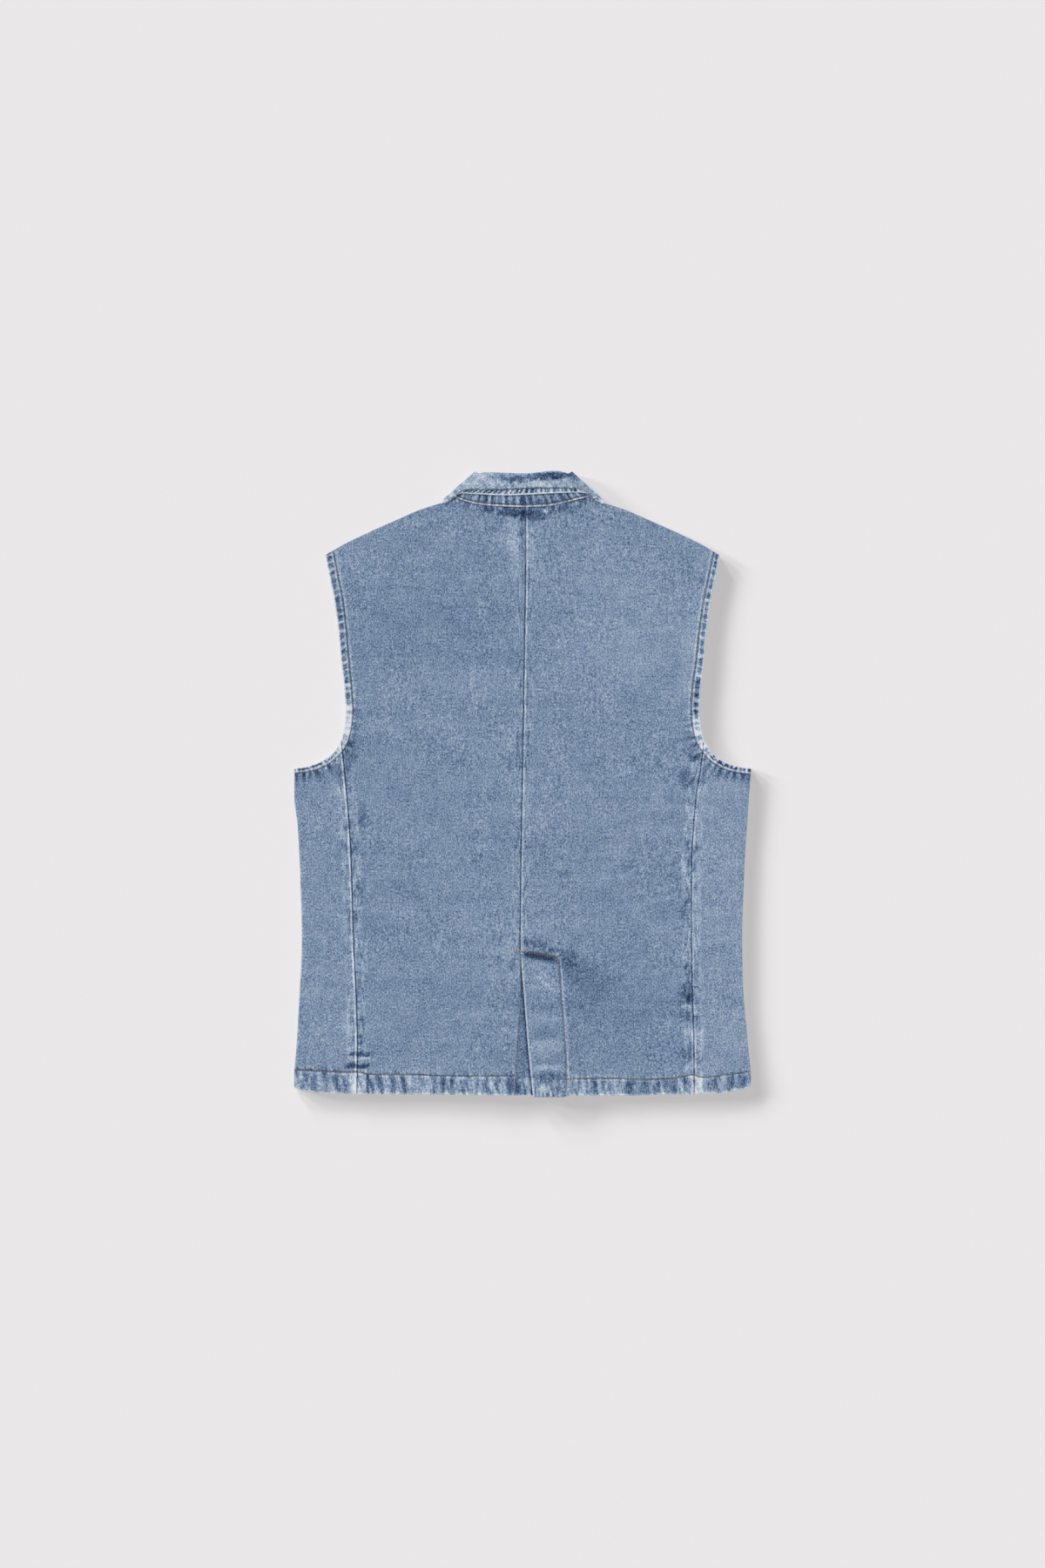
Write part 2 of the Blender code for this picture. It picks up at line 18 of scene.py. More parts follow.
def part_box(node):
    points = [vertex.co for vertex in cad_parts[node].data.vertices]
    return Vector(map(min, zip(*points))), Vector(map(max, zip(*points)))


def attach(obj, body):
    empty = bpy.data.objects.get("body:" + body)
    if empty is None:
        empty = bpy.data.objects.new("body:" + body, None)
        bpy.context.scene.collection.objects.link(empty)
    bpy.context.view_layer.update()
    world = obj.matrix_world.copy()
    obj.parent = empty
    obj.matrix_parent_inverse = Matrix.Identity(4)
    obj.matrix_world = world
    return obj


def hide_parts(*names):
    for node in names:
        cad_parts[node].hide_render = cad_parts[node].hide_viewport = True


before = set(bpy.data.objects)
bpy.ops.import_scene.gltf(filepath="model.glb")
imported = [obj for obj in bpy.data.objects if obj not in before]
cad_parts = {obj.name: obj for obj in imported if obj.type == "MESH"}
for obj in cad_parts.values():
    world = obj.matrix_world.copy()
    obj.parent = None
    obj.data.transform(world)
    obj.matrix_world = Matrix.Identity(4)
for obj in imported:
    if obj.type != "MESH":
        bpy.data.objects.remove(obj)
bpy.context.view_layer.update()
MM = 0.001
print("nodes:", ", ".join(sorted(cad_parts)))

# %% [markdown]
# ## Camera
# The photograph looks straight down on the vest and takes in 1.2 by 1.8 metres of floor. A long
# lens from five metres up keeps the sides of the picture free of perspective, as a studio
# camera on a ceiling arm does.

# %% Camera
CAMERA_HEIGHT = 5.0
PICTURE_HEIGHT = 1.8
lens = bpy.data.cameras.new("studio_camera")
lens.sensor_width = 36.0
lens.lens = lens.sensor_width * CAMERA_HEIGHT / PICTURE_HEIGHT
camera = bpy.data.objects.new("studio_camera", lens)
camera.location = (0.0, 0.0, CAMERA_HEIGHT)
bpy.context.scene.collection.objects.link(camera)
bpy.context.scene.camera = camera
print("lens in mm:", lens.lens)

# %% [markdown]
# ## Tables and curves
# A pattern maker draws an outline through a few measured places. `table` keeps such places by
# named column, and `smooth` reads between them along a curve that never overshoots.

# %% Tables and curves
def table(columns, *rows):
    """A short table: one array for each named column."""
    return dict(zip(columns.split(), np.array(rows, float).T))


def smooth(listed, key, column, at):
    """Reads a column between its rows along a curve that never overshoots them."""
    keys, values = listed[key], listed[column]
    steps = np.diff(keys)
    slopes = np.diff(values) / steps
    before, after = slopes[:-1], slopes[1:]
    same_way = before * after > 0
    total = np.where(same_way, before + after, 1.0)
    inner = np.where(same_way, 2 * before * after / total, 0.0)
    tangents = np.concatenate([slopes[:1], inner, slopes[-1:]])
    place = np.clip(np.searchsorted(keys, at) - 1, 0, len(steps) - 1)
    step = steps[place]
    t = np.clip((np.asarray(at, float) - keys[place]) / step, 0, 1)
    return (
        (2 * t**3 - 3 * t**2 + 1) * values[place]
        + (t**3 - 2 * t**2 + t) * step * tangents[place]
        + (3 * t**2 - 2 * t**3) * values[place + 1]
        + (t**3 - t**2) * step * tangents[place + 1]
    )


def ease(value, low, high):
    """0 at low and beyond it, 1 at high, with a soft start and end."""
    t = np.clip((np.asarray(value, float) - low) / (high - low), 0, 1)
    return t * t * (3 - 2 * t)


def bump(value, middle, width):
    """1 at the middle, falling off softly on both sides."""
    return np.exp(-(((value - middle) / width) ** 2))


# %% [markdown]
# ## The outline
# These are the measured lines of the garment: seams, side folds, armholes, hem, shoulders and
# necklines. X runs across the vest from its middle, and Y from the hem to the collar.

# %% Outline tables
SEAMS = table(
    "y     fold_left seam_left centre_left centre_right seam_right fold_right",
    (-360, -262.0, -190.3, -9.4, 12.6, 197.2, 261.0),
    (-336, -262.0, -190.0, -8.2, 9.6, 197.0, 262.0),
    (-302, -259.5, -189.6, -6.2, 6.2, 196.8, 259.0),
    (-268, -257.5, -190.2, -4.0, 3.5, 195.8, 256.0),
    (-240, -256.0, -191.2, -2.8, 1.3, 194.9, 253.5),
    (-206, -254.0, -192.8, -2.8, -1.4, 194.2, 252.3),
    (-180, -253.2, -194.0, -2.6, -2.6, 193.8, 252.0),
    (-99, -255.5, -196.5, -1.8, -1.8, 193.8, 254.5),
    (-50, -258.0, -198.8, -1.0, -1.0, 196.2, 257.5),
    (-12, -262.0, -202.0, -0.4, -0.4, 199.6, 260.0),
    (18, -261.5, -204.8, 0.2, 0.2, 204.3, 262.0),
    (52, -261.5, -207.7, 0.8, 0.8, 207.7, 262.0),
    (160, -261.5, -207.7, 2.4, 2.4, 207.7, 262.0),
    (250, -261.5, -207.7, 3.6, 3.6, 207.7, 262.0),
    (320, -261.5, -207.7, 3.6, 3.6, 207.7, 262.0),
)
SEAM_TOP_Y = 52.0
ARMHOLE = table(
    "y      x",
    (52.0, 207.7),
    (67.0, 204.5),
    (85.0, 203.2),
    (108.0, 204.4),
    (141.0, 208.0),
    (178.0, 211.5),
    (209.0, 215.7),
    (238.0, 221.5),
    (262.6, 226.2),
)
UNDERARM = table(
    "x      y",
    (206.0, 55.0),
    (212.0, 44.0),
    (219.5, 34.5),
    (233.5, 25.0),
    (251.0, 19.8),
    (262.0, 18.4),
)
FRONT_SEAM_X = 214.0
FRONT_SEAM_TOP_Y = 41.3
FRONT_ARMHOLE = table(
    "y      x",
    (41.3, 214.0),
    (52.0, 205.0),
    (68.0, 198.5),
    (90.0, 196.0),
    (118.0, 198.0),
    (150.0, 202.5),
    (185.0, 208.0),
    (215.0, 213.5),
    (240.0, 219.5),
    (262.6, 226.2),
)
HEM = table(
    "x      y",
    (-262, -348.8),
    (-240, -353.6),
    (-190, -355.5),
    (-100, -356.2),
    (0, -357.0),
    (100, -357.2),
    (185, -355.8),
    (229, -354.6),
    (247, -350.8),
    (262, -348.4),
)
NECK_CORNER = 91.0
SHOULDER = table(
    "x      y",
    (91.0, 322.5),
    (97.0, 321.0),
    (104.0, 319.0),
    (119.0, 314.0),
    (140.0, 305.0),
    (178.0, 288.0),
    (203.0, 276.0),
    (226.2, 262.6),
)
BACK_NECK = table(
    "x      y",
    (-91, 322.5),
    (-86, 326.5),
    (-80, 328.6),
    (-67, 324.6),
    (-51, 320.6),
    (-28, 318.6),
    (0, 317.6),
    (28, 318.6),
    (50, 322.8),
    (67, 327.0),
    (80, 329.6),
    (86, 327.0),
    (91, 322.5),
)
FRONT_NECK = table(
    "x      y",
    (0.0, 245.0),
    (20.0, 246.5),
    (38.0, 252.5),
    (56.0, 266.5),
    (70.0, 285.0),
    (79.0, 301.0),
    (85.0, 315.0),
    (91.0, 322.5),
)


def hem_y(x):
    return smooth(HEM, "x", "y", x)


def shoulder_y(x):
    return smooth(SHOULDER, "x", "y", abs(x))


def back_top_y(x):
    return np.where(abs(x) < NECK_CORNER, smooth(BACK_NECK, "x", "y", x), shoulder_y(x))


def front_top_y(x):
    return np.where(abs(x) < NECK_CORNER, smooth(FRONT_NECK, "x", "y", abs(x)), shoulder_y(x))


print("back length in mm:", round(float(back_top_y(0.0) - hem_y(0.0)), 1))
print("chest in mm:", SEAMS["fold_right"][-1] - SEAMS["fold_left"][-1])

# %% [markdown]
# ## Heights
# Laid flat, the fronts rest on the floor and the back lies on them. Cloth rises softly where
# something thick lies below it: the buttoned edges, the collar, the vent's second layer.

# %% Heights
PLY = 1.1
DOUBLED = 1.8
FACED = 2.2
EDGE_WALL = 0.8
SEAM_GAP = 0.1
OVERLAP = 14.0
OVERLAP_END = 17.0
BACK_HEIGHT = 5.4
VENT_Y = -196.0
VENT_HEAD = 8.0
FLAP_RIGHT = 44.0
RISES = table(
    "height start_x end_x        start_y end_y",
    (1.3,   75,     20,          300,    262),
    (1.0,   150,    100,         270,    310),
    (2.5,   55,     OVERLAP_END, -195,   -150),
    (2.3,   137,    112,         175,    205),
)
BACK_OVER_CLOSURE, BACK_AT_NECK, FRONT_OVER_BUTTONS, FRONT_OVER_LEAF = range(len(RISES["height"]))
VENT_HEIGHTS = table(
    "y     underlap flap",
    (-345, 6.0,     8.6),
    (-275, 5.4,     8.2),
    (-225, 4.8,     7.9),
    (-200, 4.7,     7.2),
)


def rise(kind, x, y):
    """How far one of the rises lifts the cloth at a place."""
    row = {key: values[kind] for key, values in RISES.items()}
    across = ease(abs(x), row["start_x"], row["end_x"])
    return row["height"] * across * ease(y, row["start_y"], row["end_y"])


def back_height(x, y):
    return BACK_HEIGHT + rise(BACK_OVER_CLOSURE, x, y) + rise(BACK_AT_NECK, x, y)


def front_height(x, y):
    return np.maximum(rise(FRONT_OVER_BUTTONS, x, y), rise(FRONT_OVER_LEAF, x, y))


over_closure = round(float(back_height(0, -300)), 1)
print("back above the floor in mm:", BACK_HEIGHT, "and over the closure:", over_closure)

# %% [markdown]
# ## Unevenness
# Washed denim is never even. `hills` gives soft random relief, `pleats` gives the ridges that a
# stitched turning draws up across itself, each a little wider, higher or later than the last,
# and `rolled` rounds a folded edge. Seeds are fixed, so every run makes the same vest.

# %% Unevenness
HILL_WAVES = 9
HILL_DEPTH = 3.4
PLEAT_COUNT = 260
PLEATS_FROM = -380.0
NEAR_AT_ONCE = 4000


def hills(x, y, size, seed):
    """Soft random hills about size apart, mostly between -1 and 1."""
    draw = np.random.default_rng(seed)
    total = 0.0
    for turn, phase, stretch in draw.uniform(0, 1, (HILL_WAVES, 3)):
        wave = 2 * math.pi / (size * (0.6 + 1.1 * stretch))
        way = 2 * math.pi * turn
        total = total + np.sin((x * math.cos(way) + y * math.sin(way)) * wave + 2 * math.pi * phase)
    return total / HILL_DEPTH


def pleats(along, pitch, width, seed):
    """Uneven ridges along a band: up to 1 on a ridge and 0 between ridges."""
    draw = np.random.default_rng(seed)
    places = np.cumsum(draw.uniform(0.7, 1.3, PLEAT_COUNT) * pitch) + PLEATS_FROM
    heights = draw.uniform(0.35, 1.0, len(places))
    widths = width * draw.uniform(0.7, 1.4, len(places))
    after = np.clip(np.searchsorted(places, along), 1, len(places) - 1)
    return np.maximum(
        heights[after] * bump(along, places[after], widths[after]),
        heights[after - 1] * bump(along, places[after - 1], widths[after - 1]),
    )


def rolled(distance, radius):
    """How far a folded or seamed edge falls away, from the distance to it."""
    short = np.clip(1 - distance / radius, 0, 1)
    return -radius * (1 - np.sqrt(1 - short**2))


def lengths_along(line):
    """How far along a drawn line each of its points is."""
    return np.concatenate([[0.0], np.cumsum(np.hypot(*np.diff(line, axis=0).T))])


def near_line(x, y, line):
    """Distance of each point to a drawn line, and how far along the line its nearest place is."""
    steps = np.diff(line, axis=0)
    ahead = steps / np.hypot(*steps.T)[:, None]
    ahead = np.vstack([ahead, ahead[-1:]])
    along = lengths_along(line)
    places = np.stack([np.ravel(x), np.ravel(y)], axis=1)
    distance, where = np.empty(len(places)), np.empty(len(places))
    for first in range(0, len(places), NEAR_AT_ONCE):
        some = slice(first, first + NEAR_AT_ONCE)
        squares = ((places[some, None, :] - line[None, :, :]) ** 2).sum(axis=2)
        nearest = squares.argmin(axis=1)
        forward = ((places[some] - line[nearest]) * ahead[nearest]).sum(axis=1)
        forward = np.clip(forward, -1.0, 1.0)
        distance[some] = np.sqrt(np.maximum(squares.min(axis=1) - forward**2, 0))
        where[some] = along[nearest] + forward
    return distance.reshape(np.shape(x)), where.reshape(np.shape(x))


print("a few pleats 5 mm apart:", np.round(pleats(np.arange(0.0, 12.0, 2.0), 5.0, 1.3, 1), 2))

# %% [markdown]
# ## Marks of wash and wear, and some painted shade
# Some light and dark patches have a place of their own, such as the deep blue that stays in the
# puckers under the neck seam. Two dark marks on the collar's leaf are painted shade instead. A
# patch is a soft oval with ragged edges. Tone is 0 for the plain washed cloth, 1 for cloth worn
# white and -1 for unwashed indigo.

# %% Marks of wash and wear
def marked(x, y, marks):
    """The tone that a table of soft, ragged oval patches adds."""
    total = np.zeros(np.shape(x))
    for number in range(len(marks["x"])):
        row = {key: values[number] for key, values in marks.items()}
        across = (x - row["x"] - row["lean"] * (y - row["y"])) / (row["wide"] / 2)
        up = (y - row["y"]) / (row["high"] / 2)
        rough = 0.28 * hills(x, y, 7.0, 40 + number) + 0.18 * hills(2.5 * x, y, 6.0, 90 + number)
        total = total + row["tone"] * ease(np.hypot(across, up) + rough, 1.25, 0.5)
    return total


BACK_MARKS = table(
    "x     y     wide high lean  tone",
    (-10,  311,  40,  10,  0.0,  -0.62),
    (12,   308,  34,  15,  0.0,  -0.52),
    (-1,   288,  4,   46,  0.0,  -0.30),
    (5,    286,  4,   40,  0.0,  0.20),
    (-14,  290,  16,  46,  0.0,  0.22),
    (-9,   262,  12,  60,  0.0,  0.16),
    (10,   270,  10,  60,  0.0,  0.14),
    (-100, 200,  190, 130, 0.0,  -0.07),
    (110,  180,  190, 170, 0.0,  0.07),
    (90,   -250, 190, 130, 0.0,  -0.06),
    (-40,  315,  26,  9,   0.0,  -0.30),
    (50,   315,  40,  9,   0.0,  -0.22),
    (25,   313,  4,   9,   -0.7, 0.75),
    (14,   -184, 30,  9,   0.0,  -0.34),
    (34,   -190, 22,  8,   -2.0, -0.26),
    (4,    -180, 10,  8,   0.0,  -0.28),
    (51,   -200, 24,  26,  0.0,  -0.34),
    (66,   -212, 44,  34,  0.0,  -0.16),
    (84,   -226, 70,  40,  0.0,  -0.12),
    (-12,  -207, 7,   18,  0.0,  -0.25),
    (-16,  -190, 14,  26,  0.0,  0.16),
    (-14,  -225, 6,   40,  0.0,  0.12),
    (-200, -60,  14,  26,  0.0,  -0.10),
    (188,  6,    16,  26,  0.0,  -0.30),
    (196,  30,   14,  12,  0.0,  -0.40),
    (-196, 30,   16,  14,  0.0,  -0.30),
)
FLAP_MARKS = table(
    "x     y     wide high lean  tone",
    (29,   -231, 5.0, 26,  -1.0, 0.48),
    (26,   -219, 4.5, 20,  -1.3, 0.34),
    (33,   -238, 4,   18,  -1.0, -0.22),
    (26,   -232, 40,  12,  0.0,  0.12),
    (24,   -255, 40,  10,  0.0,  -0.17),
    (26,   -270, 40,  10,  0.0,  0.09),
    (26,   -284, 38,  14,  0.0,  -0.20),
    (27,   -300, 40,  12,  0.0,  0.26),
    (28,   -318, 38,  8,   0.0,  -0.16),
    (30,   -325, 36,  6,   0.0,  0.28),
    (32,   -336, 38,  12,  0.0,  -0.40),
    (24,   -350, 14,  9,   0.0,  0.50),
    (40,   -350, 10,  8,   0.0,  -0.30),
)
SIDE_MARKS = table(
    "x     y     wide high lean  tone",
    (206,  8,    12,  30,  0.0,  -0.28),
    (-208, 10,   12,  26,  0.0,  -0.25),
)
SEAM_MARKS = table(
    "x     y     wide high lean  tone",
    (-187, -310, 26,  7,   0.0,  -0.74),
    (-181, -315, 16,  2.6, 0.0,  0.70),
    (-189, -323, 30,  7,   0.0,  -0.86),
    (-190, -328, 26,  3,   0.0,  0.35),
    (-200, -275, 14,  50,  0.0,  0.14),
    (-193, -200, 10,  90,  0.0,  0.12),
    (190,  -240, 20,  24,  0.0,  -0.50),
    (187,  -255, 14,  2.6, 0.0,  0.60),
    (190,  -266, 20,  14,  0.0,  -0.40),
    (190,  -287, 14,  22,  0.0,  0.20),
    (204,  -289, 8,   24,  0.0,  0.20),
    (191,  -309, 22,  16,  0.0,  -0.45),
    (196,  -325, 22,  10,  0.0,  0.16),
    (186,  -90,  8,   40,  0.0,  0.14),
    (186,  -150, 10,  30,  0.0,  -0.25),
    (-183, -40,  14,  30,  0.0,  -0.25),
    (-186, -120, 10,  30,  0.0,  -0.22),
)
print("marks:", sum(len(m["x"]) for m in (BACK_MARKS, FLAP_MARKS, SIDE_MARKS, SEAM_MARKS)))

# %% [markdown]
# ## Looks of a hem, an armhole and a seam
# A turned hem is stitched through three layers. Washing shrinks the thread and the cloth beside
# it ropes: slanting ridges form, their tops wear pale and the hollows keep their blue. Each
# function below gives both the relief in millimetres and the tone, so that colour and shape
# agree.

# %% Hem look
HEM_STITCH = table(
    "x      y",
    (-262, -328.0),
    (-234, -329.0),
    (-203, -330.6),
    (-191, -330.0),
    (-176, -333.0),
    (-140, -333.2),
    (-60,  -335.0),
    (0,    -334.5),
    (51,   -338.0),
    (100,  -337.5),
    (140,  -338.7),
    (176,  -337.0),
    (194,  -333.8),
    (207,  -336.4),
    (229,  -334.0),
    (262,  -329.7),
)
HEM_BARE = (-7.5, 51.0)
HEM_BLOCKS = table(
    "x      half_width",
    (-190.0, 11.5),
    (197.0, 10.5),
)


def hem_stitch_y(x):
    return smooth(HEM_STITCH, "x", "y", x)


def hem_look(x, y, seed):
    """Relief and tone of the hem band, and of the puckers just above its stitches."""
    above = y - hem_stitch_y(x)
    bottom = y - hem_y(x)
    band = ease(above, 0.4, -0.6)

    # Ropes of three sizes slant across the band, over patches that wore more or less.
    big = pleats(x + 0.08 * above + 3 * hills(x, y, 40, seed), 12.0, 3.6, seed)
    small = pleats(x - 0.1 * above, 5.2, 1.3, seed + 1)
    ragged = pleats(x + 0.9 * above, 8.0, 2.6, seed + 2)
    top = pleats(x, 4.0, 1.0, seed + 3)
    patch = hills(x, 0.4 * y, 15, seed + 4)
    relief = band * (0.45 + 0.30 * big + 0.10 * small) - 0.5 * bump(above, 0, 0.8)
    tone = band * (-0.31 + 0.50 * ease(big, 0.05, 0.55) + 0.14 * small + 0.16 * patch)
    tone = tone + ease(bottom, 6.0, 1.0) * 0.45 * ragged + ease(bottom, 2.2, 0.5) * (0.45 + 0.3 * small)

    # Where a seam crosses the hem, its allowances make a pale block between two dark lines.
    for middle, half_width in zip(*HEM_BLOCKS.values()):
        off = abs(x - middle)
        pale = ease(off, half_width, half_width - 1.5)
        tone = tone + band * (0.34 * pale - 0.80 * bump(off, half_width + 0.8, 1.1))

    # The stitches lie in a groove darkened with painted shade, deepest at the left, between two worn
    # ridges.
    deep = 0.5 + 0.5 * ease(x, -170, -205)
    tone = tone + 0.42 * bump(above, -1.9, 1.0) * (0.35 + 0.65 * top)
    fade = np.where(above > 0, np.exp(-np.maximum(above, 0) / 4.0), 0.0) * ease(above, 0.0, 1.2)
    relief = relief + fade * 0.22 * top
    tone = tone + fade * (0.75 * top - 0.42 * deep) - 0.75 * deep * bump(above, 0.15, 0.85)
    tone = tone + 0.16 * bump(above, 1.9, 1.2) * ease(x, 45, 65) * ease(x, 188, 178)
    return relief, tone


print("hem turning at the middle in mm:", round(float(hem_stitch_y(0.0) - hem_y(0.0)), 1))

# %% [markdown]
# Round the armhole the turning is only a finger's width. Its puckers stand as short dark cells
# between pale bars. Where the curve is tightest the cloth was stretched over itself, and the
# wash has worn it almost white.

# %% Armhole look
BACK_SEAM_X = 208.0
DRAWN_EVERY = 0.5
ARMHOLE_LOOKS = {
    -1: table(
        "along inset base  cell  pitch under halo",
        (0,    9.9,  0.20, 0.68, 1.0,  0.10, 0.06),
        (80,   9.1,  0.22, 0.68, 1.0,  0.15, 0.06),
        (165,  8.3,  0.22, 0.68, 1.0,  0.20, 0.06),
        (176,  8.4,  0.80, 0.20, 1.0,  0.60, 0.03),
        (222,  8.0,  0.72, 0.35, 1.0,  0.85, 0.00),
        (236,  7.2,  0.42, 1.10, 1.1,  1.00, 0.00),
        (300,  5.6,  0.20, 1.25, 1.2,  1.00, 0.00),
    ),
    1: table(
        "along inset base  cell  pitch under halo",
        (0,    7.2,  0.24, 0.66, 1.0,  0.10, 0.05),
        (110,  8.4,  0.26, 0.66, 1.0,  0.20, 0.20),
        (175,  9.6,  0.20, 0.90, 0.9,  0.30, 0.12),
        (200,  9.2,  0.75, 0.20, 1.0,  0.60, 0.03),
        (226,  8.4,  0.65, 0.35, 1.0,  0.90, 0.00),
        (238,  8.2,  0.30, 1.25, 1.1,  1.00, 0.00),
        (300,  6.6,  0.25, 1.30, 1.15, 1.00, 0.00),
    ),
}


def armhole_line(side, front):
    """The armhole's edge, drawn every half millimetre from the shoulder down to the side fold."""
    listed, top = (FRONT_ARMHOLE, FRONT_SEAM_TOP_Y) if front else (ARMHOLE, SEAM_TOP_Y)
    down = np.arange(SHOULDER["y"][-1], top, -DRAWN_EVERY)
    across = np.arange(FRONT_SEAM_X if front else BACK_SEAM_X, UNDERARM["x"][-1], DRAWN_EVERY)
    x = np.concatenate([smooth(listed, "y", "x", down), across])
    y = np.concatenate([down, smooth(UNDERARM, "x", "y", across)])
    return np.stack([side * x, y], axis=1)


ARMHOLE_LINES = {}
for side in (-1, 1):
    for front in (False, True):
        ARMHOLE_LINES[side, front] = armhole_line(side, front)


def armhole_look(x, y, side, front=False):
    """Relief, tone and distance to the edge for points on a panel beside an armhole."""
    distance, along = near_line(x, y, ARMHOLE_LINES[side, front])
    columns = ("inset", "base", "cell", "pitch", "under", "halo")
    look = {name: smooth(ARMHOLE_LOOKS[side], "along", name, along) for name in columns}
    inside = distance - look["inset"]
    band = ease(inside, 0.5, -0.7)
    whitened = ease(look["base"], 0.3, 0.6)

    # The turning: pale bars with dark cells between them, a worn edge and a ridge at the stitches.
    slanted = (along + 0.15 * distance) * look["pitch"]
    bars = pleats(slanted, 8.4, 1.5, 11 + side)
    cell = ease(distance, 1.0, 1.9) * ease(inside, -1.8, -3.0) * (1 - ease(bars, 0.15, 0.55))
    cell = look["cell"] * cell * (0.85 + 0.3 * hills(x, y, 6, 5))
    relief = band * (0.35 + 0.30 * bars) - 0.45 * bump(inside, 0, 0.8)
    tone = band * (look["base"] + (0.35 + 0.45 * look["under"]) * bars) - cell
    tone = tone + 0.60 * ease(distance, 1.8, 0.5) * band + 0.26 * bump(inside, -1.9, 0.9) * (1 - whitened)

    # The panel beside it: puckers that fade away from the stitches, and painted shade in the stitches'
    # groove.
    under = pleats(along, 7.0, 1.7, 17 + side)
    fade = np.where(inside > 0, np.exp(-np.maximum(inside, 0) / 6.0), 0.0) * ease(inside, 0.4, 1.8)
    tone = tone + fade * look["under"] * (2.4 * under - 1.55) + 0.42 * bump(inside, 2.4, 1.3)
    tone = tone + look["halo"] * ease(distance, 32, 14) * ease(inside, 0.5, 2.0)
    relief = relief + fade * look["under"] * 0.5 * under + 0.12 * bump(inside, 2.2, 1.3)
    # Painted shade in the stitches' groove.
    tone = tone - 0.70 * bump(inside, 0, 1.0) * (1 - 0.5 * whitened)
    return relief, tone, distance


for (side, front), line in ARMHOLE_LINES.items():
    print("armhole", side, "front" if front else "back", "in mm:", round(lengths_along(line)[-1]))

# %% [markdown]
# A plain seam has its allowances pressed open behind it, a finger's width on each side. They
# show through as two pale strips with a faint outer edge, and where they have bunched the cloth
# stays dark.

# %% Seam look
ALLOWANCE = 10.0


def seam_look(distance, y, strength, ridge, dark_line, seed):
    """Relief and tone beside a seam, from the distance to it and the place along it."""
    strip = ease(distance, ALLOWANCE + 1.5, ALLOWANCE - 1.0)
    patchy = hills(0.35 * distance, y, 16, seed) + 0.6 * hills(distance, y, 7, seed + 1)
    worn = 0.55 * ease(patchy, -0.2, 1.1)
    dark = ease(patchy, -0.55, -1.15)
    relief = 0.22 * strip + rolled(distance, 0.55)
    tone = strength * strip * (0.07 + 0.28 * worn - 0.32 * dark)
    outer_edge = bump(distance, ALLOWANCE, 1.2) * ease(hills(0 * y, y, 14, seed + 2), -0.3, 0.6)
    cells = bump(distance, 3.2, 2.6) * ease(hills(0 * y, y, 11, seed + 4), 0.1, 0.7)
    wear = 0.85 + 0.2 * hills(0 * y, y, 30, seed + 3)
    tone = tone + strength * 0.22 * outer_edge - strength * 0.34 * cells
    tone = tone + ridge * wear * bump(distance, 1.5, 0.9) - dark_line * bump(distance, 0.1, 0.8)
    return relief, tone


def cloth_waves(x, y, seed):
    """The slow waves of cloth that was smoothed out by hand, and its slow changes of blue."""
    relief = 0.30 * hills(x, y, 170, seed)
    relief = relief + 0.14 * hills(x, y, 70, seed + 1) + 0.05 * hills(x, y, 26, seed + 2)
    tone = 0.018 * hills(x, y, 150, seed + 3) + 0.022 * hills(x, y, 45, seed + 4)
    tone = tone + 0.02 * hills(0.3 * x, y, 18, seed + 5)
    return relief, tone


print("seam allowances pressed open in mm:", ALLOWANCE)

# %% [markdown]
# ## Making a sheet of cloth
# Every panel is a grid of points on the outer face of the cloth. Solidify thickens it inwards,
# and a vertex group tells it where the cloth is doubled. The tone of each point is kept as an
# attribute, which the material reads.

# %% Making a sheet of cloth
HOLE_TURNING = 8.0
EDGE_SLOPE = 0.7
FOLDED_EDGE = 0.9
OUT_OF_REACH = 60.0
PAST_SEAM = 50.0
LOWEST = 0.06
outer_faces = {}


def turned_walls(x, y, to_hole):
    """The cloth's thickness: doubled where the hem and the armhole are turned in."""
    return np.where((y < hem_stitch_y(x)) | (to_hole < HOLE_TURNING), DOUBLED, PLY)


def thinned(walls, edge):
    """Walls that get thinner towards an edge, so that it looks pressed."""
    return np.minimum(walls, EDGE_WALL + EDGE_SLOPE * np.maximum(edge, 0))


def neck_distance(x, y, top):
    """Distance below the neck seam, out of reach beside the collar."""
    return top - y + OUT_OF_REACH * ease(abs(x), 84, 90)


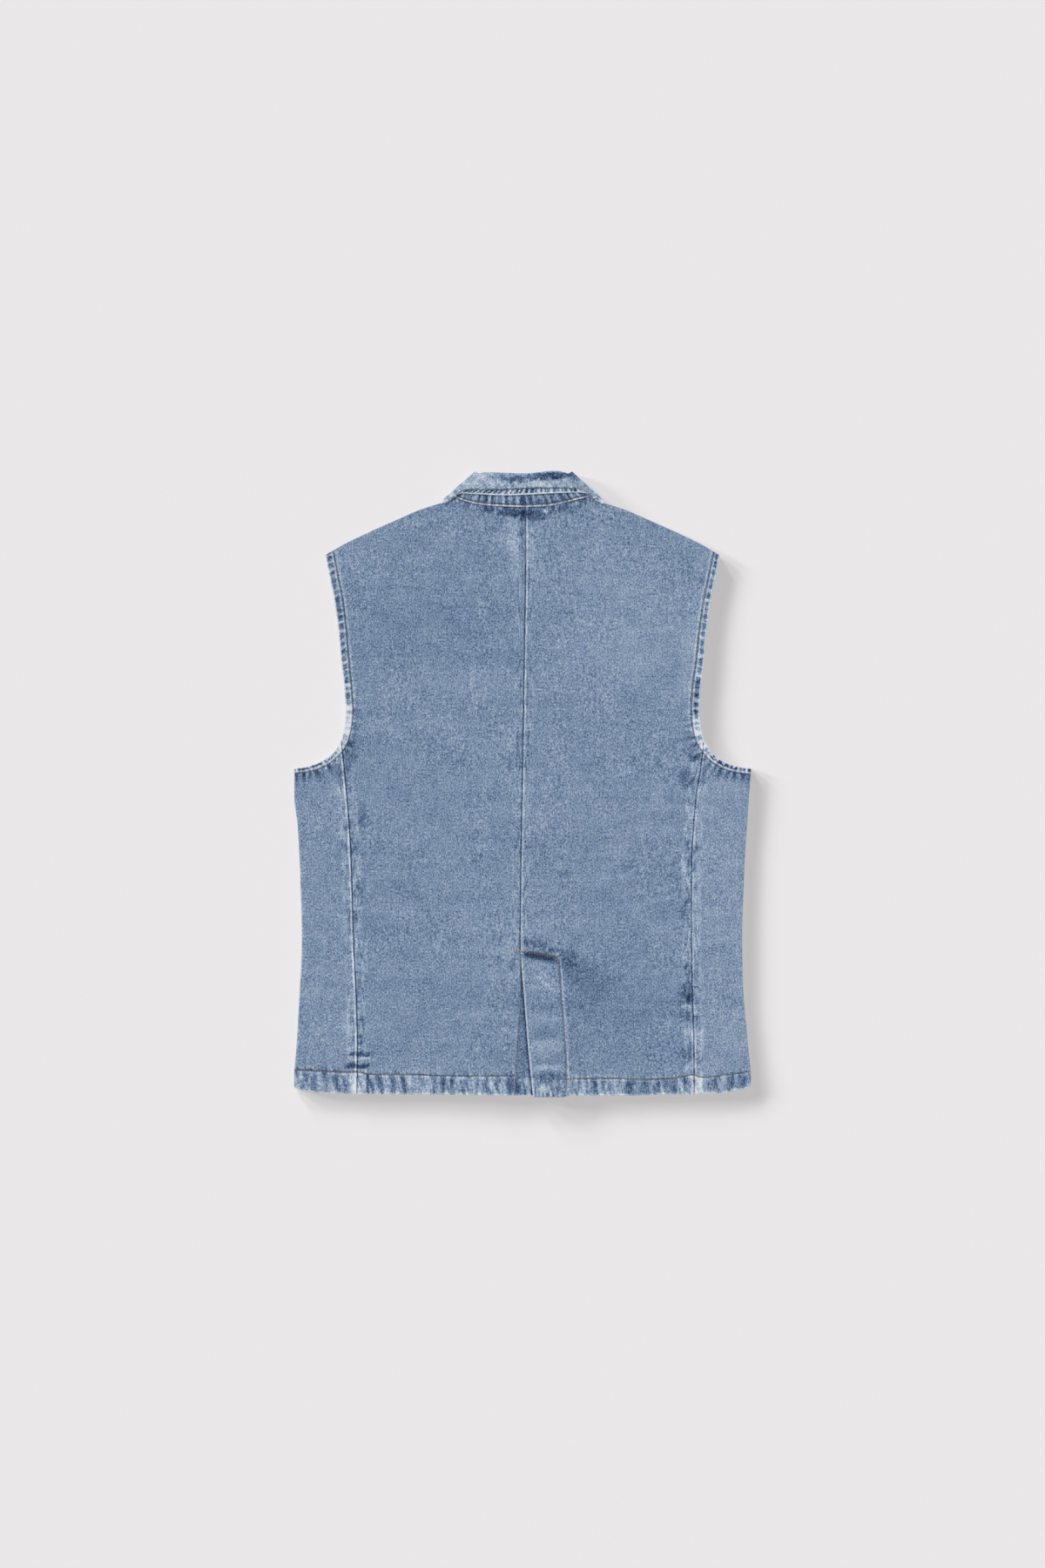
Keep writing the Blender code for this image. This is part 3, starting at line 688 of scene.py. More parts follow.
def add_cloth(name, points, tone, walls, faces_down, keep=None, band=None):
    """Builds a cloth piece from rows of outer points, in millimetres."""
    rows, columns = points.shape[:2]
    number = np.arange(rows * columns).reshape(rows, columns)
    quads = np.stack([number[:-1, :-1], number[:-1, 1:], number[1:, 1:], number[1:, :-1]], axis=-1)
    if keep is not None:
        quads = quads[keep[:-1, :-1]]
    quads = quads.reshape(-1, 4)
    if faces_down:
        quads = quads[:, ::-1]
    used = np.unique(quads)
    renumber = np.zeros(rows * columns, int)
    renumber[used] = np.arange(len(used))
    spots = points.reshape(-1, 3)[used]
    quads = renumber[quads]
    mesh = bpy.data.meshes.new(name)
    mesh.from_pydata((spots * MM).tolist(), [], quads.tolist())
    shade = mesh.attributes.new("tone", "FLOAT", "POINT")
    shade.data.foreach_set("value", tone.ravel()[used].astype(np.float32))
    if band is not None:
        place = mesh.attributes.new("band", "FLOAT_VECTOR", "POINT")
        place.data.foreach_set("vector", band.reshape(-1, 3)[used].astype(np.float32).ravel())
    mesh.shade_smooth()
    piece = bpy.data.objects.new(name, mesh)
    bpy.context.scene.collection.objects.link(piece)
    group = piece.vertex_groups.new(name="doubled")
    share = np.clip((walls.ravel()[used] - EDGE_WALL) / (FACED - EDGE_WALL), 0, 1)
    for level in np.unique(np.round(share, 2)):
        group.add(np.flatnonzero(np.round(share, 2) == level).tolist(), float(level), "REPLACE")
    solid = piece.modifiers.new("cloth", "SOLIDIFY")
    solid.thickness = FACED * MM
    solid.offset = -1
    solid.vertex_group = group.name
    solid.thickness_vertex_group = EDGE_WALL / FACED
    outer_faces[name] = BVHTree.FromPolygons(spots.tolist(), quads.tolist())
    print(f"{name}: {len(quads)} quads")
    return piece


def stacked(x, y, z):
    return np.stack([x, y, z], axis=-1)


# %% [markdown]
# Puckers run square to their own stitches. The `band` of a point tells the material how far along
# and how far from the nearest stitched edge it is, and how puckered it is there.

# %% Bands of puckers
def panel_band(x, y, side, seams, front=False, to_neck=None):
    """Where a point is along and across the nearest stitched edge, and how puckered it is there."""
    above = y - hem_stitch_y(x)
    hem_on = 0.62 * ease(above, 9.0, 1.0)
    seam_on = 0.55 * ease(seams, ALLOWANCE + 2.0, ALLOWANCE - 2.0)
    distance, along = near_line(x, y, ARMHOLE_LINES[side, front])
    inset = smooth(ARMHOLE_LOOKS[side], "along", "inset", along)
    under = smooth(ARMHOLE_LOOKS[side], "along", "under", along)
    hole_on = ease(distance, inset + 2 + 9 * under, inset) * (0.45 + 0.55 * under)
    band = stacked(1.3 * seams, y, seam_on)
    band = np.where((hem_on > 0)[..., None], stacked(x + 0.2 * above, above, hem_on), band)
    band = np.where((hole_on > 0)[..., None], stacked(along, distance, hole_on), band)
    if to_neck is not None:
        neck_on = ease(to_neck, 13.0, 1.0)
        band = np.where((neck_on > 0)[..., None], stacked(x, to_neck, neck_on), band)
    return band


print("wall at an edge and inside it in mm:", EDGE_WALL, PLY)

# %% [markdown]
# ## Plan of a panel
# A panel's grid follows its own edges. Rows and columns are close together at the edges, where
# the stitching and puckers are, and wider apart between. Along the shoulder the last rows turn
# down to meet the front.

# %% Plan of a panel
EDGE_PLACES = (0.0, 0.15, 0.4, 0.8, 1.3, 1.9, 2.6, 3.4, 4.3)
EDGE_PLACES += (5.2, 6.1, 7.0, 7.8, 8.6, 9.5, 10.5, 11.6, 13.0)
LOW_PLACES = EDGE_PLACES + (14.4, 15.8, 17.2, 18.4, 19.4, 20.2, 21.0, 21.8, 22.6, 23.6, 24.8, 26.2, 28.0)
TOP_PLACES = (13.0, 11.6, 10.3, 9.1, 8.0, 7.0, 6.0, 5.1, 4.3, 3.6)
SHOULDER_TURN = (0.0, 12.0, 24.0, 36.0, 48.0, 58.0, 67.0, 75.0, 82.0)
NECK_PLACES = (3.0, 2.4, 1.9, 1.4, 1.0, 0.7, 0.4, 0.15, 0.0)
CORNER_SLACK = 0.35
NEAR_HEM_Y = -350.0
NEAR_NECK_Y = 300.0


def spread(start, end, near, between, far):
    """Places by distance from the start, then by share of the middle, then by distance to the end."""
    way = np.sign(end - start)
    first = start + way * near[-1]
    last = end - way * far[0]
    middle = first + (last - first) * np.array(between)
    return np.concatenate([start + way * np.array(near), middle, end - way * np.array(far)])


def shoulder_bend(x):
    """The top rows at x: their distances to the edge, and how far each turns to the other side."""
    x, y = abs(float(x)), float(shoulder_y(x))
    turned = float(ease(x, 91, 98))
    radius = float(back_height(x, y) - front_height(x, y)) / 2
    angles = np.radians(SHOULDER_TURN)
    rounding = radius * (1 - np.sin(angles) / math.sin(angles[-1]))
    distances = turned * rounding + (1 - turned) * np.array(NECK_PLACES)
    slack = SEAM_GAP / 2 + CORNER_SLACK * float(ease(x, 122, 98))
    drop = turned * (radius - slack) * (1 - np.cos(angles))
    return np.concatenate([TOP_PLACES, distances]), drop


def panel_plan(inner, outer, cell, hem, top):
    """Plan of a panel between an inner and an outer line: x, y and the shoulder's turn."""
    tip = SHOULDER["y"][-1]
    foot = hem(outer(NEAR_HEM_Y))
    inner_top, outer_top = inner(NEAR_NECK_Y), outer(tip)
    row_count = int((tip - foot - LOW_PLACES[-1] - TOP_PLACES[0]) / cell)
    column_count = int((abs(outer_top - inner_top) - 2 * EDGE_PLACES[-1]) / cell)
    row_shares = np.linspace(0, 1, row_count + 1)[1:-1]
    column_shares = np.linspace(0, 1, column_count + 1)[1:-1]
    inner_foot = hem(inner(NEAR_HEM_Y))
    inner_y = spread(inner_foot, top(inner_top), LOW_PLACES, row_shares, shoulder_bend(inner_top)[0])
    outer_y = spread(foot, tip, LOW_PLACES, row_shares, shoulder_bend(tip)[0])
    start, end = inner(inner_y), outer(outer_y)
    way = np.sign(end - start)
    first, last = start + way * EDGE_PLACES[-1], end - way * EDGE_PLACES[-1]
    x = np.array(
        [start + way * d for d in EDGE_PLACES]
        + [first + (last - first) * share for share in column_shares]
        + [end - way * d for d in EDGE_PLACES[::-1]]
    )
    y, turn = np.empty_like(x), np.zeros_like(x)
    for column, (x_foot, x_top) in enumerate(zip(x[:, 0], x[:, -1])):
        distances, drop = shoulder_bend(x_top)
        y[column] = spread(hem(x_foot), top(x_top), LOW_PLACES, row_shares, distances)
        turn[column, -len(drop) :] = drop
    return x.T, y.T, turn.T


print("rows near a hem:", len(LOW_PLACES), "and near a shoulder:", len(TOP_PLACES) + len(SHOULDER_TURN))

# %% [markdown]
# ## The back
# Two panels meet at a seam down the middle. Below the vent's head the left one runs on to the
# right as an underlap, and the right one ends in a turned flap that lies over it.

# %% Lines of the back
CELL = 2.2
FLAP_STITCH = table(
    "y      x",
    (-357,  48.5),
    (-340,  50.0),
    (-314,  49.4),
    (-279,  47.3),
    (-251,  44.5),
    (-216,  42.4),
    (-200,  40.6),
)
UNDERLAP_STITCH = table(
    "y      x",
    (-356,  -9.3),
    (-333,  -8.1),
    (-314,  -7.0),
    (-279,  -4.6),
    (-239,  -2.2),
    (-206,  -2.5),
)
VENT_BAR = table(
    "x     y",
    (-8,   -191.0),
    (5.5,  -192.0),
    (23.4, -195.0),
    (39.2, -198.3),
)
BAR_END = 39.5


def seam_line(name):
    """A line of the table of seams, as a function of y."""
    return lambda y: smooth(SEAMS, "y", name, y)


def back_outer(side):
    """The side seam up to the armhole and then the armhole, as a function of y."""
    seam_name = "seam_left" if side < 0 else "seam_right"

    def line(y):
        seam = smooth(SEAMS, "y", seam_name, y) - side * SEAM_GAP / 2
        hole = side * smooth(ARMHOLE, "y", "x", y)
        return np.where(np.asarray(y) < SEAM_TOP_Y, seam, hole)

    return line


def underlap_stitch_x(y):
    return smooth(UNDERLAP_STITCH, "y", "x", y)


def flap_stitch_x(y):
    return smooth(FLAP_STITCH, "y", "x", y)


vent_long = round(VENT_Y - float(hem_y(0.0)))
vent_across = round(float(flap_stitch_x(VENT_Y)))
print("vent in mm:", vent_long, "long, stitched", vent_across, "mm across")

# %% [markdown]
# The underlap is added as more columns beside the left panel's inner edge, from the vent's head
# down. It sinks under the flap, so only a narrow wedge of it shows, dark and unworn, with painted
# shadow along the flap's folded edge.

# %% The underlap
UNDERLAP_REACH = 52.0
UNDERLAP_TOP_Y = -190.0
UNDERLAP_STEPS = np.concatenate([np.linspace(UNDERLAP_REACH, 20, 10), np.linspace(18, 1.0, 16)])


def sunk_for_underlap(x, y, height, tone, centre):
    """Height and tone of the left panel where it goes under the flap."""
    stitch_x = underlap_stitch_x(y)
    wedge = ease(y, -198, -212) * ease(x, stitch_x, stitch_x + 1.6)
    # Darker where the wedge shows, and darkest next to the flap's edge, which is painted shadow.
    tone = tone - wedge * (0.22 + 0.30 * np.exp(-np.maximum(centre(y) - x, 0) / 1.6))
    dive = ease(x, centre(y) - 26, centre(y) - 2) * ease(y, VENT_Y + VENT_HEAD, VENT_Y)
    return height + (smooth(VENT_HEIGHTS, "y", "underlap", y) - height) * dive, tone


def underlap_columns(x, y):
    """The added columns: their x, y, height, relief, tone and distance to the hem."""
    far_x = x[:, :1] + UNDERLAP_STEPS
    far_y = np.repeat(y[:, :1], len(UNDERLAP_STEPS), axis=1)
    height = smooth(VENT_HEIGHTS, "y", "underlap", far_y)
    relief, tone = hem_look(far_x, far_y, 33)
    low = ease(far_y, -336, -340)
    edge = far_y - hem_y(far_x)
    relief = relief * low * 0.6 + rolled(edge, FOLDED_EDGE)
    beside_flap = far_x - seam_line("centre_right")(far_y)
    # The dark line beside the flap's edge is painted shadow; the rest is darker unworn cloth.
    tone = tone * low - 0.22 - 0.60 * bump(beside_flap, -0.7, 1.2)
    return far_x, far_y, height, relief, tone, edge


print("underlap columns:", len(UNDERLAP_STEPS))

# %% [markdown]
# The flap is faced, so it is thicker and stiffer. Its folded edge and the ridge beside its
# stitches have worn pale, and the bar of stitches at its head casts a shadow on it.

# %% The flap
def raised_for_flap(x, y, height):
    """The flap's height over the underlap, and its y, because its foot hangs a little lower."""
    across = ease(x, FLAP_RIGHT + 36, FLAP_RIGHT)
    on_flap = across * ease(y, VENT_Y + VENT_HEAD, VENT_Y - VENT_HEAD / 2)
    height = height + (smooth(VENT_HEIGHTS, "y", "flap", y) - height) * on_flap
    return height, y - 1.9 * ease(x, FLAP_RIGHT + 14, FLAP_RIGHT) * ease(y, -320, -350)


def flap_look(x, y, relief, tone, centre):
    """Relief and tone of the right panel with the looks of the flap added."""
    below = ease(y, VENT_Y - 1, VENT_Y - 6)
    fold = x - centre(y)
    stitch = x - flap_stitch_x(y)
    ridge_relief = 0.3 * bump(stitch, 2.6, 1.6) - 0.5 * bump(stitch, 0, 0.8)
    # The ridge beside the stitches is worn pale; the dark at the stitches themselves is painted shade in
    # their groove.
    ridge_tone = 0.55 * bump(stitch, 2.6, 1.1) - 0.35 * bump(stitch, 0, 0.8)
    relief = relief + below * (rolled(fold, 1.0) + ridge_relief)
    tone = tone + below * (0.55 * bump(fold, 0.9, 1.0) + ridge_tone)
    in_flap = below * ease(stitch, 1.0, -1.0)
    foot = ease(y - hem_y(x), 10, 2) * (0.5 * pleats(x, 6.0, 1.8, 35) - 0.15)
    tone = tone + in_flap * (0.05 + foot)
    tone = tone + below * marked(x, y, FLAP_MARKS) * ease(stitch, 2.0, 0.0)
    under_bar = smooth(VENT_BAR, "x", "y", x) - y
    across_flap = ease(x, -1.0, 4.0) * ease(x, BAR_END, 35.0)
    shadow = 0.95 * bump(under_bar, 4.0, 3.6) + 0.35 * bump(under_bar, 0.5, 1.2)
    return relief, tone - shadow * across_flap


# %% [markdown]
# Each half of the back sums the same looks: hem, armhole, two seams, waves, marks, the ticks
# below the neck seam and a painted shadow right under that seam. The left half then gets its
# underlap and the right half its flap.

# %% The back
BACK_SEAM_LOOKS = {
    -1: {"centre": (0.4, 0.12, 1.0), "side": (0.9, 0.10, 1.2)},
    1: {"centre": (0.4, 0.70, 0.5), "side": (0.9, 0.45, 0.7)},
}


def back_looks(x, y, side, centre, outer):
    """Relief and tone of half a back without its vent, and distances to its edges."""
    to_centre = abs(x - centre(y))
    to_neck = neck_distance(x, y, back_top_y(x))
    to_seam = abs(outer(y) - x) + PAST_SEAM * ease(y, SEAM_TOP_Y - 4, SEAM_TOP_Y + 8)
    past_vent = OUT_OF_REACH * ease(y, VENT_Y + 6, VENT_Y - 2)
    hem_relief, hem_tone = hem_look(x, y, 20 + side)
    hole_relief, hole_tone, to_hole = armhole_look(x, y, side)
    looks = BACK_SEAM_LOOKS[side]
    centre_relief, centre_tone = seam_look(to_centre + past_vent, y, *looks["centre"], 60)
    seam_relief, seam_tone = seam_look(to_seam, y, *looks["side"], 70 + side)
    wave_relief, wave_tone = cloth_waves(x, y, 80)
    hem_on = 1 - ease(x, HEM_BARE[0] - 1.5, HEM_BARE[0]) * ease(x, HEM_BARE[1] + 1.5, HEM_BARE[1])
    relief = hem_relief * hem_on + hole_relief + centre_relief + seam_relief + wave_relief
    tone = hem_tone * hem_on + hole_tone + centre_tone + seam_tone + wave_tone
    tone = tone + marked(x, y, BACK_MARKS) + marked(x, y, SEAM_MARKS)
    ticks = pleats(x, 6.0, 1.6, 31)
    relief = relief + rolled(to_neck, 0.8) + 0.2 * ticks * np.exp(-to_neck / 5)
    # The dark line right under the neck seam is painted shadow of the collar stand's edge.
    tone = tone + np.exp(-to_neck / 6) * (0.35 * ticks - 0.30) - 0.5 * bump(to_neck, 0, 1.0)
    relief = relief + rolled(y - hem_y(x), FOLDED_EDGE) + rolled(to_hole, FOLDED_EDGE)
    edge = np.minimum(np.minimum(y - hem_y(x), to_hole), np.minimum(to_centre, to_neck))
    return relief, tone, to_hole, edge


def back_panel(side):
    """Half of the back: -1 is the left half and 1 the right."""
    left = side < 0
    centre = seam_line("centre_left" if left else "centre_right")
    outer = back_outer(side)
    x, y, turn = panel_plan(lambda v: centre(v) + side * SEAM_GAP / 2, outer, CELL, hem_y, back_top_y)
    relief, tone, to_hole, edge = back_looks(x, y, side, centre, outer)
    height = back_height(x, y) - turn
    walls = turned_walls(x, y, to_hole)
    keep = None
    if left:
        height, tone = sunk_for_underlap(x, y, height, tone, centre)
        added = underlap_columns(x, y)
        count = len(UNDERLAP_STEPS)
        walls = np.hstack([np.repeat(walls[:, :1], count, axis=1), walls])
        joined = zip(added, (x, y, height, relief, tone, edge))
        x, y, height, relief, tone, edge = (np.hstack(pair) for pair in joined)
        keep = np.ones(x.shape, bool)
        keep[:, :count] = y[:, :count] < UNDERLAP_TOP_Y
    else:
        height, y = raised_for_flap(x, y, height)
        relief, tone = flap_look(x, y, relief, tone, centre)
        walls = np.where((x < flap_stitch_x(y)) & (y < VENT_Y), FACED, walls)
    to_centre = abs(x - centre(y)) + OUT_OF_REACH * ease(y, VENT_Y + 6, VENT_Y - 2)
    seams = np.minimum(to_centre, abs(outer(y) - x)) + OUT_OF_REACH * ease(x * -side, 0.0, 3.0)
    band = panel_band(x, y, side, seams, to_neck=neck_distance(x, y, back_top_y(x)))
    name = "back_left_cloth" if left else "back_right_cloth"
    return add_cloth(name, stacked(x, y, height + relief), tone, thinned(walls, edge), left, keep, band)


backs = {side: back_panel(side) for side in (-1, 1)}

# %% [markdown]
# ## The sides
# A side panel wraps round the side of the vest, so it shows its back half and hides its front
# half. Its section at each level runs flat from the back seam, turns round the fold and runs
# flat again to the front seam.

# %% Section of a side
FOLD_TURNS = np.arange(15.0, 180.0, 15.0)
FOLD_RADIUS = BACK_HEIGHT / 2
SIDE_EDGE = EDGE_PLACES[:9]
SIDE_ROWS = 150
BACK_SHARES = np.linspace(0, 1, 22)[1:]
FRONT_SHARES = np.linspace(0, 1, 20)[1:-1]
TURNS = np.concatenate(
    [
        np.zeros(len(SIDE_EDGE) + len(BACK_SHARES)),
        FOLD_TURNS,
        np.full(len(FRONT_SHARES) + len(SIDE_EDGE), 180.0),
    ]
)


def side_section(side, y):
    """The x of each column at one level, from the back seam round the fold to the front seam."""
    seam_name, fold_name = ("seam_left", "fold_left") if side < 0 else ("seam_right", "fold_right")
    seam = smooth(SEAMS, "y", seam_name, np.minimum(y, SEAM_TOP_Y)) + side * SEAM_GAP / 2
    fold = smooth(SEAMS, "y", fold_name, y) - side * FOLD_RADIUS
    front = side * (FRONT_SEAM_X + SEAM_GAP / 2)
    near = [seam + side * d for d in SIDE_EDGE]
    flat_back = [near[-1] + (fold - near[-1]) * share for share in BACK_SHARES]
    bend = [fold + side * FOLD_RADIUS * math.sin(math.radians(a)) for a in FOLD_TURNS]
    last = front + side * SIDE_EDGE[-1]
    flat_front = [fold + (last - fold) * share for share in FRONT_SHARES]
    far = [front + side * d for d in SIDE_EDGE[::-1]]
    return np.array(near + flat_back + bend + flat_front + far)


def side_plan(side):
    """Plan of a side panel: x, y and how far each place has turned round the fold, in radians."""
    foot_x, head_x = side_section(side, NEAR_HEM_Y), side_section(side, SEAM_TOP_Y)
    head_y = smooth(UNDERARM, "x", "y", abs(head_x))
    shares = np.linspace(0, 1, SIDE_ROWS)[1:-1]
    ends = zip([hem_y(a) for a in foot_x], head_y)
    y = np.array([spread(a, b, LOW_PLACES, shares, EDGE_PLACES[::-1]) for a, b in ends]).T
    x = np.array([[side_section(side, y[r, c])[c] for c in range(y.shape[1])] for r in range(y.shape[0])])
    return x, y, np.radians(np.repeat(TURNS[None, :], len(y), axis=0))


print("columns of a side:", len(TURNS))

# %% [markdown]
# On the way round the fold the relief turns with the cloth: up on the back, outwards at the fold
# and down on the front, where the floor presses most of it flat.

# %% The sides
SIDE_SEAM_LOOKS = {-1: (0.8, 0.95, 0.3), 1: (0.8, 0.50, 0.6)}
SIDE_TONES = {-1: 0.02, 1: 0.06}
PRESSED_RELIEF = 0.25
FOLD_RELIEF = 0.3
FOLD_RELIEF_MOST = 0.6


def side_panel(side):
    """A side panel: -1 is the left one and 1 the right."""
    left = side < 0
    x, y, turn = side_plan(side)
    turned = np.degrees(turn)
    seam_at = smooth(SEAMS, "y", "seam_left" if left else "seam_right", y)
    to_back_seam = abs(x - seam_at) + OUT_OF_REACH * ease(turned, 0, 30)
    to_front_seam = abs(abs(x) - FRONT_SEAM_X) + OUT_OF_REACH * ease(turned, 180, 150)
    hem_relief, hem_tone = hem_look(x, y, 20 + side)
    hole_relief, hole_tone, to_hole = armhole_look(x, y, side)
    back_relief, back_tone = seam_look(to_back_seam, y, *SIDE_SEAM_LOOKS[side], 74 + side)
    front_relief, front_tone = seam_look(to_front_seam, y, 0.8, 0.10, 0.6, 78 + side)
    wave_relief, wave_tone = cloth_waves(x, y, 84)
    low = ease(y, hem_y(x) + 6, hem_y(x))
    fold_wear = bump(turned, 60, 40) * 0.25
    relief = hem_relief + hole_relief + back_relief + front_relief + 0.6 * wave_relief
    relief = relief + rolled(y - hem_y(x), FOLDED_EDGE) + rolled(to_hole, FOLDED_EDGE) - 0.3 * low
    tone = hem_tone + hole_tone + back_tone + front_tone + wave_tone + fold_wear + SIDE_TONES[side]
    tone = tone + marked(x, y, SIDE_MARKS) + ease(turned, 60, 20) * marked(x, y, SEAM_MARKS)
    below = np.where(turn > math.pi / 2, PRESSED_RELIEF, 1.0)
    z = FOLD_RADIUS * (1 + np.cos(turn)) + relief * np.cos(turn) * below
    outward = np.where((turned <= 0) | (turned >= 180), 0.0, np.sin(turn))
    x = x + side * FOLD_RELIEF * outward * np.minimum(relief, FOLD_RELIEF_MOST)
    edge = np.minimum(np.minimum(y - hem_y(x), to_hole), np.minimum(to_back_seam, to_front_seam))
    walls = thinned(turned_walls(x, y, to_hole), edge)
    band = panel_band(x, y, side, to_back_seam)
    name = "side_left_cloth" if left else "side_right_cloth"
    return add_cloth(name, stacked(x, y, np.maximum(z, LOWEST)), tone, walls, left, None, band)


sides = {side: side_panel(side) for side in (-1, 1)}

# %% [markdown]
# ## The fronts
# The fronts lie face down on the floor. They lap at the middle, where the buttons lift them a
# little, and their outer face is the underside of the whole thing. Relief here goes inwards, so
# that the cloth still rests on the floor.

# %% The fronts
FRONT_CELL = 3.2
FRONT_TUCK = 2.0
PLACKET_STITCHES = (5.0, 30.0)
FRONT_RELIEF = 0.3
FRONT_CLEARANCE = 0.25


def front_hem_y(x):
    """The front hem, tucked just inside the back one between the side seams."""
    return hem_y(x) + FRONT_TUCK * ease(abs(x), FRONT_SEAM_X, 150)


def front_outer(side):
    """The front side seam up to the armhole and then the armhole, as a function of y."""

    def line(y):
        seam = side * (FRONT_SEAM_X - SEAM_GAP / 2)
        hole = side * smooth(FRONT_ARMHOLE, "y", "x", y)
        return np.where(np.asarray(y) < FRONT_SEAM_TOP_Y, seam, hole)

    return line


def front_edge(side):
    """The buttoned edge, as a function of y."""
    return lambda y: np.zeros_like(np.asarray(y, float)) - side * OVERLAP


def front_panel(side):
    """One front: -1 is the left one and 1 the right, which laps over it on the inside."""
    edge_line, outer = front_edge(side), front_outer(side)
    x, y, turn = panel_plan(edge_line, outer, FRONT_CELL, front_hem_y, front_top_y)
    to_edge = abs(x - edge_line(y))
    to_seam = abs(outer(y) - x) + PAST_SEAM * ease(y, FRONT_SEAM_TOP_Y - 4, FRONT_SEAM_TOP_Y + 8)
    to_neck = neck_distance(x, y, front_top_y(x))
    to_hem = y - front_hem_y(x)
    hem_relief, hem_tone = hem_look(x, y, 24 + side)
    hole_relief, hole_tone, to_hole = armhole_look(x, y, side, True)
    seam_relief, seam_tone = seam_look(to_seam, y, 0.8, 0.2, 0.6, 90 + side)
    wave_relief, wave_tone = cloth_waves(x, y, 95 + side)
    ticks = pleats(y, 9.0, 2.2, 97 + side)
    first, last = PLACKET_STITCHES
    placket = ease(to_edge, last + 1.0, last - 0.5)
    edge_tone = placket * (0.10 * ticks - 0.02) + 0.5 * bump(to_edge, 0.8, 1.0)
    # Painted shade in the grooves of both rows of placket stitches.
    edge_tone = edge_tone - 0.3 * bump(to_edge, first, 0.8)
    tone = hem_tone + hole_tone + seam_tone + wave_tone + edge_tone - 0.3 * bump(to_edge, last, 0.8)
    rounding = rolled(to_hem, FOLDED_EDGE) + rolled(to_hole, FOLDED_EDGE)
    rounding = rounding + rolled(to_edge, FOLDED_EDGE) + rolled(to_neck, 0.8)
    relief = FRONT_RELIEF * (hem_relief + hole_relief + 0.3 * wave_relief) + seam_relief + rounding
    height = front_height(x, y) + turn + np.maximum(0.0, FRONT_CLEARANCE - relief)
    if side > 0:
        height = height + (DOUBLED + SEAM_GAP) * ease(x, 28, OVERLAP_END)
    edge = np.minimum(np.minimum(to_hem, to_hole), np.minimum(to_edge, to_neck))
    walls = thinned(turned_walls(x, y, to_hole), edge)
    band = panel_band(x, y, side, to_seam, True)
    name = "front_left_cloth" if side < 0 else "front_right_cloth"
    return add_cloth(name, stacked(x, y, height), tone, walls, side > 0, None, band)


fronts = {side: front_panel(side) for side in (-1, 1)}

# %% [markdown]
# ## The collar
# A collar has a stand, which rises from the neckline, and a leaf, which turns over it at the
# roll line. Laid on its front, the vest shows the back of the leaf with a strip of the stand
# below it, and both go round the sides of the neck to their front points below.
#
# Stations follow the neck from one front end to the other. Each has a place on the neckline, on
# the roll line and on the leaf's edge, and an angle: 0 on the back and 180 on the front.

# %% Collar stations
COLLAR_TOP = 9.5
COLLAR_MIDDLE = COLLAR_TOP / 2
STAND_TOP = 7.2
COLLAR_WALL = 1.7
ROLL_SEAM = 2.0
STAND_STITCH = 2.6
LEAF_STITCH = 7.2
ROLL = table(
    "x      y",
    (-51.8, 354.7),
    (-44.0, 355.9),
    (-30.0, 355.4),
    (-18.0, 354.9),
    (2.0, 354.1),
    (20.0, 355.5),
    (32.0, 357.2),
    (41.0, 357.4),
    (48.0, 356.2),
    (53.8, 354.5),
)
LEAF_EDGE = table(
    "x      y",
    (-89.4, 321.9),
    (-84.5, 324.4),
    (-80.0, 328.0),
    (-75.0, 331.6),
    (-69.0, 333.0),
    (-59.0, 332.5),
    (-20.0, 330.7),
    (2.0, 331.3),
    (33.0, 333.0),
    (64.0, 334.0),
    (74.0, 332.9),
    (80.0, 329.0),
    (86.0, 324.0),
    (91.5, 320.7),
)
COLLAR_FOLDS = table(
    "side neck_x neck_y roll_x roll_y edge_x edge_y out_x  out_y",
    (-1, -81.0, 329.2, -51.8, 354.7, -89.4, 321.9, -0.657, 0.754),
    (1, 79.8, 331.2, 53.8, 354.5, 91.5, 320.7, 0.668, 0.744),
)
COLLAR_FRONT = table(
    "neck_x roll_x roll_y edge_x edge_y",
    (82.0, 51.5, 342.0, 90.5, 305.0),
    (78.0, 50.0, 324.0, 89.5, 290.0),
    (70.0, 46.5, 303.0, 86.0, 272.0),
    (56.0, 38.0, 285.0, 79.0, 254.0),
    (38.0, 26.0, 272.0, 70.0, 238.0),
    (19.0, 12.0, 265.0, 61.0, 227.0),
    (2.5, 3.6, 262.0, 52.0, 218.0),
)
BACK_STATIONS = 130
BEND_STATIONS = 11
FRONT_STATIONS = 44


def front_neck_place(x):
    """A point just outside the front neckline, by the gap that a seam keeps."""
    slope = smooth(FRONT_NECK, "x", "y", x + 0.5) - smooth(FRONT_NECK, "x", "y", x - 0.5)
    length = np.hypot(slope, 1)
    gap = SEAM_GAP * 1.5
    return x - gap * slope / length, smooth(FRONT_NECK, "x", "y", x) + gap / length


def collar_half(number):
    """The stations of one side, from its fold to its front end."""
    fold = {key: values[number] for key, values in COLLAR_FOLDS.items()}
    side = fold["side"]
    neck_x, neck_y = front_neck_place(COLLAR_FRONT["neck_x"])
    rows = {"neck_x": neck_x, "neck_y": neck_y}
    rows |= {key: COLLAR_FRONT[key] for key in ("roll_x", "roll_y", "edge_x", "edge_y")}
    listed = {"place": np.arange(len(neck_x) + 1.0)}
    for key, values in rows.items():
        mirror = side if key.endswith("_x") else 1
        listed[key] = np.concatenate([[fold[key]], mirror * values])
    places = np.concatenate([np.zeros(BEND_STATIONS), np.linspace(0, len(neck_x), FRONT_STATIONS)])
    half = {key: smooth(listed, "place", key, places) for key in rows}
    bending = np.linspace(0, 180, BEND_STATIONS + 1)[:-1]
    half["angle"] = np.concatenate([bending, np.full(FRONT_STATIONS, 180.0)])
    half["out_x"] = np.full(len(places), fold["out_x"])
    half["out_y"] = np.full(len(places), fold["out_y"])
    return half


